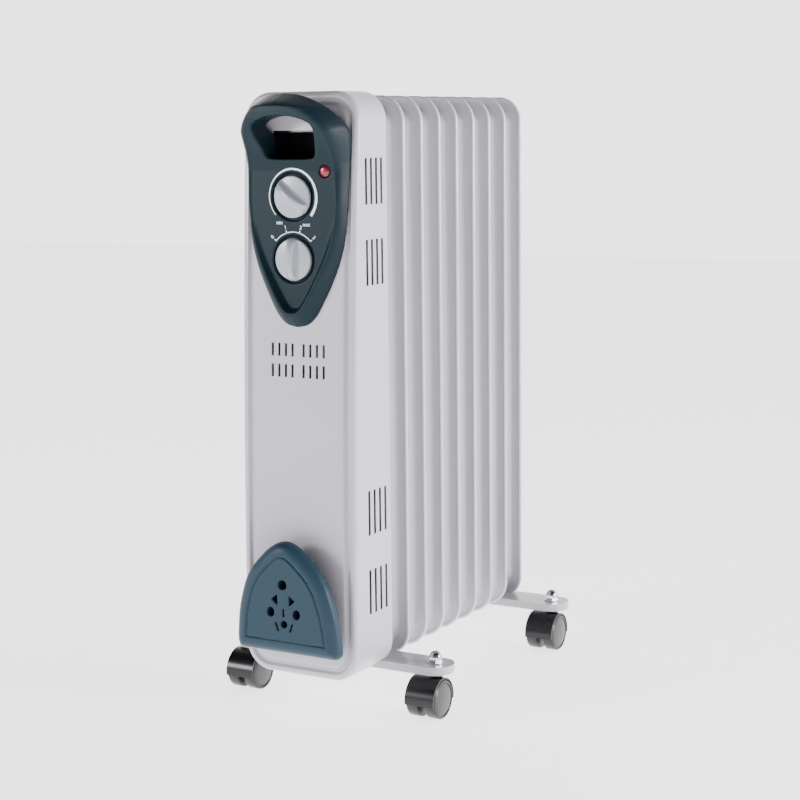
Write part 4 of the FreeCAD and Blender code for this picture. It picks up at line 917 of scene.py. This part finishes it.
@dataclass
class Bezel:
    """Moulded control bezel with its forward-leaning handle.

    Attributes:
        low: bottom of the bezel.
        height: its height.
        half: its greatest half width.
        opening: right half of the hand opening's outline.
    """

    low: float = 400.0
    height: float = 229.0
    half: float = 60.5
    opening: tuple[tuple[float, float], ...] = (
        (0.0, 565.2), (20.0, 565.4), (27.0, 566.2), (30.0, 569.0), (31.6, 576.0), (33.6, 587.0),
        (34.6, 594.0), (32.6, 599.0), (26.0, 602.8), (14.0, 606.0), (0.0, 607.0),
    )
    shares: tuple[tuple[float, float], ...] = (
        (0.000, 0.000), (0.012, 0.200), (0.048, 0.360), (0.102, 0.490), (0.175, 0.635), (0.262, 0.779),
        (0.350, 0.878), (0.440, 0.929), (0.550, 0.955), (0.700, 0.974), (0.786, 0.993), (0.842, 0.990),
        (0.880, 0.925), (0.918, 0.805), (0.950, 0.650), (0.976, 0.470), (0.994, 0.240), (1.000, 0.000),
    )

    def outline(self) -> Outline:
        """Outer outline seen from the front."""
        return Outline(smooth_path([(w * self.half, self.low + f * self.height) for f, w in self.shares], 6))

    @staticmethod
    def face(z: Array) -> Array:
        """Y of the flat front and of the handle's front above it."""
        heights = (400.0, 554.0, 562.0, 574.0, 593.0, 605.0, 611.0, 616.0, 640.0)
        forward = (0.0, 0.0, 1.6, 6.2, 17.5, 24.5, 29.5, 36.0, 36.0)
        return BEZEL_FACE - np.interp(z, heights, forward)

    @staticmethod
    def edge(z: Array) -> Array:
        """Y of the border where it meets the outline."""
        heights = (560.0, 590.0, 601.0, 610.0, 617.0, 623.0, 629.0)
        forward = (-162.6, -167.4, -172.8, -178.0, -180.4, -182.4, -184.6)
        return np.where(z < 560.0, np.minimum(housing_face(z) - 1.2, -162.6), np.interp(z, heights, forward))

    def front(self, z: Array, inside: Array) -> Array:
        """Y of the front surface."""
        band = np.interp(z, (415, 450, 480, 500, 526, 557, 574, 593, 616),
                         (14, 12.5, 10, 8, 7.5, 9.5, 12, 15, 14))
        ridge = np.interp(z, (415, 430, 455, 480, 505), (7.0, 6.5, 4.5, 2.0, 0.0))
        crest = self.face(z) - ridge
        swell = np.sin(np.clip(inside / band, 0, 1) * math.pi / 2) ** 1.15
        rise = self.edge(z) + (crest - self.edge(z)) * swell
        dish = crest + ridge * ease((inside - band) / 6.0)
        bead = 0.7 * np.interp(z, (470, 500, 575, 600), (0, 1, 1, 0)) * np.exp(-((inside - band) / 1.1) ** 2)
        return np.where(inside < band, rise, dish) - bead

    def rear(self, z: Array) -> Array:
        """Y of the rear: on the housing below, behind the handle above."""
        arms = np.interp(z, (587.8, 621.0, 631.0), (-158.9, -180.9, -184.9))
        return np.where(z < 587.8, housing_face(z) + 0.4, arms)

    def value(self, x: Array, y: Array, z: Array) -> Array:
        """Field of the bezel."""
        outline = self.outline().distance(x, z)
        front = self.front(z, -outline)
        slope_x = np.gradient(front, x.ravel(), axis=0)
        slope_z = np.gradient(front, z.ravel(), axis=2)
        steep = 1 / np.sqrt(1 + np.minimum(slope_x**2 + slope_z**2, 9.0))
        solid = both(outline, (front - y) * steep, 1.6)
        solid = both(solid, (y - self.rear(z)) * 0.9, 0.8)
        depth = np.clip((y + 186.0) / 28.0, 0, 1) * np.clip((596.0 - z) / 6.0, 0, 1)
        hole = Outline(np.array(self.opening)).distance(x * (1 + 0.20 * depth), z)
        solid = both(solid, -hole, 2.2)
        for height in (THERMOSTAT_Z, SWITCH_Z):
            ring = np.hypot(x, z - height) - RECESS_RADIUS
            solid = both(solid, -np.maximum(ring, y - (BEZEL_FACE + RECESS_DEPTH)), 0.7)
        seat = np.hypot(x - LENS[0], z - LENS[1]) - LENS_SEAT_RADIUS
        return both(solid, -np.maximum(seat, y - (BEZEL_FACE + LENS_SEAT_DEPTH)), 0.5)

    def build(self) -> list[Piece]:
        """The bezel."""
        solid = ImplicitSolid((-63.0, -213.0, 397.0), (63.0, -150.0, 632.0), 1.0, self.value)
        made = add_object("bezel", solid.mesh("bezel"), FINISHES[Slot.TEAL], 180)
        return [Piece(made, Slot.TEAL, replaces=("control_bezel",))]


@dataclass
class CordCover:
    """Cord wrap cover: a dished plate on a neck, with parking holes for the plug.

    Attributes:
        half: half width.
        height: height of the plate.
        bulge: face ahead of the rim.
        border: width of the rounded border.
    """

    half: float = 60.5
    height: float = 115.0
    bulge: float = 9.5
    border: float = 13.5
    shares: tuple[tuple[float, float], ...] = (
        (0.000, 0.000), (0.000, 0.500), (0.000, 0.860), (0.010, 0.940), (0.045, 0.990), (0.100, 1.000),
        (0.220, 0.982), (0.390, 0.934), (0.590, 0.823), (0.700, 0.720), (0.775, 0.620), (0.860, 0.465),
        (0.935, 0.305), (0.985, 0.140), (1.000, 0.000),
    )

    def outline(self) -> Outline:
        """Outline of the plate."""
        path = [(w * self.half, COVER_LOW + f * self.height) for f, w in self.shares]
        return Outline(smooth_path(path, 6))

    @staticmethod
    def holes(x: Array, z: Array) -> Array:
        """Distance to the parking holes; z is measured from the plate's bottom."""
        side = np.abs(x)
        best = np.hypot(x, z - 72.5) - 4.9
        best = np.minimum(best, np.hypot(x, z - 32.0) - 3.7)
        best = np.minimum(best, np.hypot(side - 15.2, (z - 43.6) * 0.85) - 4.2)
        best = np.minimum(best, np.maximum(np.abs(x) - 0.9, np.abs(z - 44.0) - 4.2))
        wedge = np.maximum(np.abs(z - 57.0) - 5.6, np.maximum(7.0 - side, side - 13.4))
        wedge = np.maximum(wedge, (side - 7.0) * 0.64 + np.abs(z - 57.0) * 0.77 - 4.2)
        best = np.minimum(best, wedge)
        slant = (side - 8.4) - (z - 29.0) * 0.35
        return np.minimum(best, np.maximum(np.abs(slant) * 0.94 - 0.9, np.abs(z - 29.0) - 4.4))

    def value(self, x: Array, y: Array, z: Array) -> Array:
        """Field of the cover."""
        across = (y - COVER_PLANE) * math.cos(COVER_LEAN) + (z - COVER_LOW) * math.sin(COVER_LEAN)
        up = COVER_LOW + (z - COVER_LOW) * math.cos(COVER_LEAN)
        outline = self.outline().distance(x, up)
        share = np.clip(1 - (-outline) / self.border, 0, 1)
        front = -self.bulge * np.sqrt(np.maximum(1 - share**2.2, 0))
        line = np.clip(1 - np.abs(-outline - self.border - 0.6) / 1.4, 0, 1)
        front = front + 1.5 * ease(line)
        solid = both(outline, (front - across) * 0.85, 1.2)
        solid = both(solid, across - 4.0, 1.0)
        neck = both(outline + 26.6, across - 40.0, 1.0)
        neck = np.maximum(neck, y - (housing_face(z) + 0.4))
        solid = either(solid, np.maximum(neck, -across), 1.5)
        hole = self.holes(x, up - COVER_LOW)
        return both(solid, -np.maximum(hole, across - 8.0), 0.5)

    def build(self) -> list[Piece]:
        """The cover."""
        solid = ImplicitSolid((-63.0, -212.0, 72.0), (63.0, -168.0, 193.0), 0.8, self.value)
        made = add_object("cord_cover", solid.mesh("cord_cover"), COVER_TEAL, 180)
        return [Piece(made, Slot.TEAL, replaces=("cord_wrap_cover",))]


@dataclass
class Knob:
    """A moulded knob with a tapered grip across its disc.

    Attributes:
        name: piece name.
        node: CAD node that it stands for.
        body: body that it rides on.
        height: axis height.
        turn: rest angle of the grip, in degrees.
        back: Y of the disc's back.
    """

    name: str
    node: str
    body: str
    height: float
    turn: float
    back: float = -172.2

    def value(self, x: Array, y: Array, z: Array) -> Array:
        """Field of the knob."""
        angle = math.radians(self.turn)
        up = z - self.height
        across = x * math.cos(angle) - up * math.sin(angle)
        along = x * math.sin(angle) + up * math.cos(angle)
        radius = np.hypot(x, up)
        ahead = self.back - y
        dome = 4.6 - 0.9 * (radius / KNOB_RADIUS) ** 2
        disc = both(radius - KNOB_RADIUS, ahead - dome, 1.1)
        disc = both(disc, -ahead, 0.4)
        width = 1.7 + 3.6 * np.clip(1 - (ahead - 3.0) / 9.2, 0, 1)
        crest = 2.6 + 9.4 * np.sqrt(np.clip(1 - (along / (KNOB_RADIUS - 0.4)) ** 2, 0.001, 1))
        grip = both((np.abs(across) - width) * 0.9, (ahead - crest) * 0.7, 1.0)
        grip = both(grip, radius - KNOB_RADIUS + 0.4, 1.2)
        grip = np.maximum(grip, 1.0 - ahead)
        return either(disc, grip, 2.2)

    def build(self) -> list[Piece]:
        """The knob."""
        reach = KNOB_RADIUS + 2.0
        solid = ImplicitSolid((-reach, -186.5, self.height - reach), (reach, -170.5, self.height + reach),
                              0.5, self.value)
        made = add_object(self.name, solid.mesh(self.name), FINISHES[Slot.KNOB], 180)
        return [Piece(made, Slot.KNOB, self.body, (self.node,))]


@dataclass
class Markings:
    """Printed scales around the knobs.

    Attributes:
        lift: print thickness above the bezel, in millimetres.
        root: depth of the print below the bezel's surface, in millimetres.
        mark_radius: inner radius of the switch's scale.
        number_radius: radius of the circle that its numbers stand on.
    """

    lift: float = 0.12
    root: float = 0.8
    mark_radius: float = 26.4
    number_radius: float = 32.4
    parts: list[bpy.types.Object] = field(default_factory=list)

    def band(self, centre: float, start: float, end: float, inner: Callable[[float], float],
             outer: Callable[[float], float]) -> None:
        """A printed arc; angles are clockwise from the top, in degrees."""
        steps = 72
        rings: list[Ring] = []
        for i in range(steps + 1):
            t = i / steps
            angle = math.radians(start + (end - start) * t)
            sx, sz = math.sin(angle), math.cos(angle)
            a, b = inner(t), outer(t)
            near, far = (float(Bezel.face(centre + r * sz)) for r in (a, b))
            corners = ((a, near - self.lift), (b, far - self.lift),
                       (b, far + self.root), (a, near + self.root))
            rings.append([(r * sx, y, centre + r * sz) for r, y in corners])
        points, faces = loft(rings)
        faces += [(0, 1, 2, 3), tuple(len(points) - 4 + i for i in (3, 2, 1, 0))]
        mesh = seal(mesh_from("print_arc", points, faces), 0.001)
        self.parts.append(add_object("print_arc", mesh, INK))

    def text(self, words: str, x: float, z: float, size: float, lean: float) -> None:
        """Printed characters facing the front, turned clockwise by lean degrees."""
        curve = bpy.data.curves.new("print_text", "FONT")
        curve.body = words
        curve.size = size * MM
        curve.extrude = (self.lift + self.root) / 2 * MM
        curve.offset = 0.06 * MM
        curve.align_x = "CENTER"
        curve.align_y = "CENTER"
        holder = link("print_text", curve)
        mesh = evaluated(holder)
        bpy.data.objects.remove(holder)
        depth = BEZEL_FACE + (self.root - self.lift) / 2
        turn = Matrix.Rotation(math.radians(lean), 4, "Y") @ Matrix.Rotation(math.radians(90), 4, "X")
        mesh.transform(Matrix.Translation(Vector((x, depth, z)) * MM) @ turn)
        self.parts.append(add_object("print_text", mesh, INK))

    def build(self) -> list[Piece]:
        """Both scales as one piece."""
        self.band(THERMOSTAT_Z, -132.0, 131.0, lambda t: 26.2, lambda t: 26.9 + 2.2 * t)
        self.band(SWITCH_Z, SWITCH_MARKS[0], SWITCH_MARKS[-1], lambda t: self.mark_radius, lambda t: 27.3)
        for angle in SWITCH_MARKS:
            self.band(SWITCH_Z, angle - 1.0, angle + 1.0, lambda t: self.mark_radius, lambda t: 29.2)
        self.text("MIN", -15.6, THERMOSTAT_Z - 25.8, 3.9, 0.0)
        self.text("MAX", 15.6, THERMOSTAT_Z - 27.4, 3.9, 0.0)
        for word, angle in zip("0123", SWITCH_MARKS):
            lean = math.radians(angle)
            x, z = self.number_radius * math.sin(lean), self.number_radius * math.cos(lean)
            self.text(word, x, SWITCH_Z + z, 5.0, angle)
        made = join("scale_print", self.parts)
        smooth_mesh(made.data, 30)
        return [Piece(made, Slot.KNOB)]


@dataclass
class Wheel:
    """One wheel of a twin-wheel caster, turned with a tread, a sidewall and a domed face.

    Attributes:
        caster: corner that the caster stands at.
        side: "left" or "right" of the caster.
        reach: caster's middle to the wheel's outer side.
        face_start: caster's middle to where the domed face begins.
        face_radius: radius of the domed face.
    """

    caster: str
    side: str
    reach: float = 18.0
    face_start: float = 15.8
    face_radius: float = 16.6

    def profile(self) -> list[tuple[float, float]]:
        """(along, radius) from the axle hole's end to the face's centre, along from the caster's middle."""
        return [
            (14.0, 2.55), (3.6, 2.55), (3.6, 17.5), (3.9, 18.9), (4.6, 19.7), (5.6, 20.0), (15.2, 20.0),
            (16.0, 19.8), (16.6, 19.2), (16.9, 18.4), (16.9, 17.7), (16.6, 17.3), (16.1, 17.1), (15.9, 16.7),
            (16.1, 16.3), (16.5, 15.8), (16.9, 14.0), (17.35, 11.0), (17.7, 7.5), (17.9, 3.5), (17.95, 0.6),
            (17.95, 0.01),
        ]

    def build(self) -> list[Piece]:
        """The wheel in its place."""
        node = f"{self.caster}_wheel_{self.side}"
        points, faces = lathe(self.profile(), WHEEL_SEGMENTS)
        faces.append(tuple(range(WHEEL_SEGMENTS)))
        low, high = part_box(node)
        sign = 1 if self.side == "right" else -1
        middle = (high.x if sign > 0 else low.x) / MM - sign * self.reach
        axis_y, axis_z = (low.y + high.y) / 2 / MM, (low.z + high.z) / 2 / MM
        placed = [(middle + sign * a, axis_y + b, axis_z + c) for a, b, c in points]
        made = add_object(node + "_look", seal(mesh_from(node, placed, faces)), FINISHES[Slot.WHEEL], 30)
        made.data.materials.append(MATERIALS.get(WHEEL_FACE))
        for face in made.data.polygons:
            centre = face.center / MM
            out = sign * (centre.x - middle)
            if out > self.face_start and math.hypot(centre.y - axis_y, centre.z - axis_z) < self.face_radius:
                face.material_index = 1
        return [Piece(made, Slot.WHEEL, node + "_body", (node,))]


@dataclass
class CadFinishes:
    """Finishes of the CAD nodes that are shown as they are."""

    nodes: dict[str, bpy.types.Object]
    record: dict

    def apply(self) -> None:
        """Give every node its record slot's finish and smooth shading."""
        slots = {item["node"]: Slot(item["material_slot"]) for item in self.record["subparts"]}
        for name, node in self.nodes.items():
            node.data.materials.clear()
            node.data.materials.append(MATERIALS.get(FINISHES[slots[name]]))
            smooth_mesh(node.data, 32.0)


@dataclass
class Studio:
    """Floor, lights, surroundings and camera.

    Attributes:
        target: point that the camera looks at, in millimetres.
        azimuth: camera direction from the front towards the right-hand side, in degrees.
        elevation: camera height angle, in degrees.
        roll: camera roll, in degrees.
        distance: camera to target, in millimetres.
        lens: focal length for a 36 mm sensor.
    """

    target: tuple[float, float, float] = (16.08, 4.6, 305.3)
    azimuth: float = 29.76
    elevation: float = 8.5
    roll: float = -0.67
    distance: float = 1961.6
    lens: float = 82.33

    def floor(self) -> None:
        """Pale floor."""
        size = 6000.0
        mesh = mesh_from("floor", [(-size, -size, -0.2), (size, -size, -0.2), (size, size, -0.2),
                                   (-size, size, -0.2)], [(0, 1, 2, 3)])
        add_object("floor", mesh, FLOOR)

    def camera(self) -> None:
        """Camera at the product view."""
        a, e, r = (math.radians(v) for v in (self.azimuth, self.elevation, self.roll))
        back = Vector((math.sin(a) * math.cos(e), -math.cos(a) * math.cos(e), math.sin(e)))
        right = Vector((math.cos(a), math.sin(a), 0.0))
        up = back.cross(right)
        x = right * math.cos(r) + up * math.sin(r)
        y = -right * math.sin(r) + up * math.cos(r)
        data = bpy.data.cameras.new("camera")
        data.sensor_width = 36.0
        data.lens = self.lens
        data.clip_start, data.clip_end = 0.05, 60.0
        made = link("camera", data)
        turn = Matrix((x, y, back)).transposed().to_4x4()
        made.matrix_world = Matrix.Translation((Vector(self.target) + back * self.distance) * MM) @ turn
        bpy.context.scene.camera = made

    def light(self, name: str, at: Sequence[float], size: float, power: float,
              colour: Sequence[float]) -> None:
        """A soft square light that faces the heater."""
        data = bpy.data.lights.new(name, "AREA")
        data.shape = "SQUARE"
        data.size = size
        data.energy = power
        data.color = colour
        made = link(name, data)
        place = Vector(at)
        aim = (Vector((0.0, 0.0, 0.32)) - place).to_track_quat("-Z", "Y")
        made.matrix_world = Matrix.Translation(place) @ aim.to_matrix().to_4x4()

    def surroundings(self) -> None:
        """White surroundings, brightest behind the heater and dimmer overhead."""
        world = bpy.data.worlds.new("studio")
        world.use_nodes = True
        tree = world.node_tree
        shade = tree.nodes["Background"]
        shade.inputs["Color"].default_value = (1.0, 1.0, 1.0, 1.0)
        way = tree.nodes.new("ShaderNodeSeparateXYZ")
        tree.links.new(tree.nodes.new("ShaderNodeTexCoord").outputs["Generated"], way.inputs["Vector"])
        parts = []
        for axis, span in (("Y", (0.0, 0.55, 0.30, 3.1)), ("Z", (0.2, 0.75, 1.0, 0.25))):
            ramp = tree.nodes.new("ShaderNodeMapRange")
            ramp.interpolation_type = "SMOOTHSTEP"
            for label, number in zip(("From Min", "From Max", "To Min", "To Max"), span):
                ramp.inputs[label].default_value = number
            tree.links.new(way.outputs[axis], ramp.inputs["Value"])
            parts.append(ramp.outputs["Result"])
        power = tree.nodes.new("ShaderNodeMath")
        power.operation = "MULTIPLY"
        for socket, part in zip(power.inputs, parts):
            tree.links.new(part, socket)
        tree.links.new(power.outputs["Value"], shade.inputs["Strength"])
        bpy.context.scene.world = world

    def build(self) -> None:
        """Everything around the heater."""
        self.floor()
        self.surroundings()
        self.light("key", (2.9, 0.30, 0.75), 0.8, 112.0, (1.0, 0.925, 0.955))
        self.light("front", (-1.9, -2.4, 0.9), 0.7, 62.0, (0.93, 0.945, 1.0))
        self.camera()


def main() -> None:
    logging.basicConfig(level=logging.INFO)
    for extra in list(bpy.data.objects):
        bpy.data.objects.remove(extra)
    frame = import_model()
    CadFinishes(frame["nodes"], frame["record"]).apply()
    builders = [
        Sections(), Housing(), Bezel(), CordCover(),
        Knob("thermostat_look", "thermostat_knob", "thermostat", THERMOSTAT_Z, -53.0),
        Knob("switch_look", "power_switch_knob", "power_switch", SWITCH_Z, 0.0),
        Markings(),
    ]
    for end in ("front", "rear"):
        for side in ("left", "right"):
            builders += [Wheel(f"{end}_{side}", label) for label in ("left", "right")]
    for builder in builders:
        for piece in builder.build():
            piece.place()
    Studio().build()


if __name__ == "__main__":
    main()
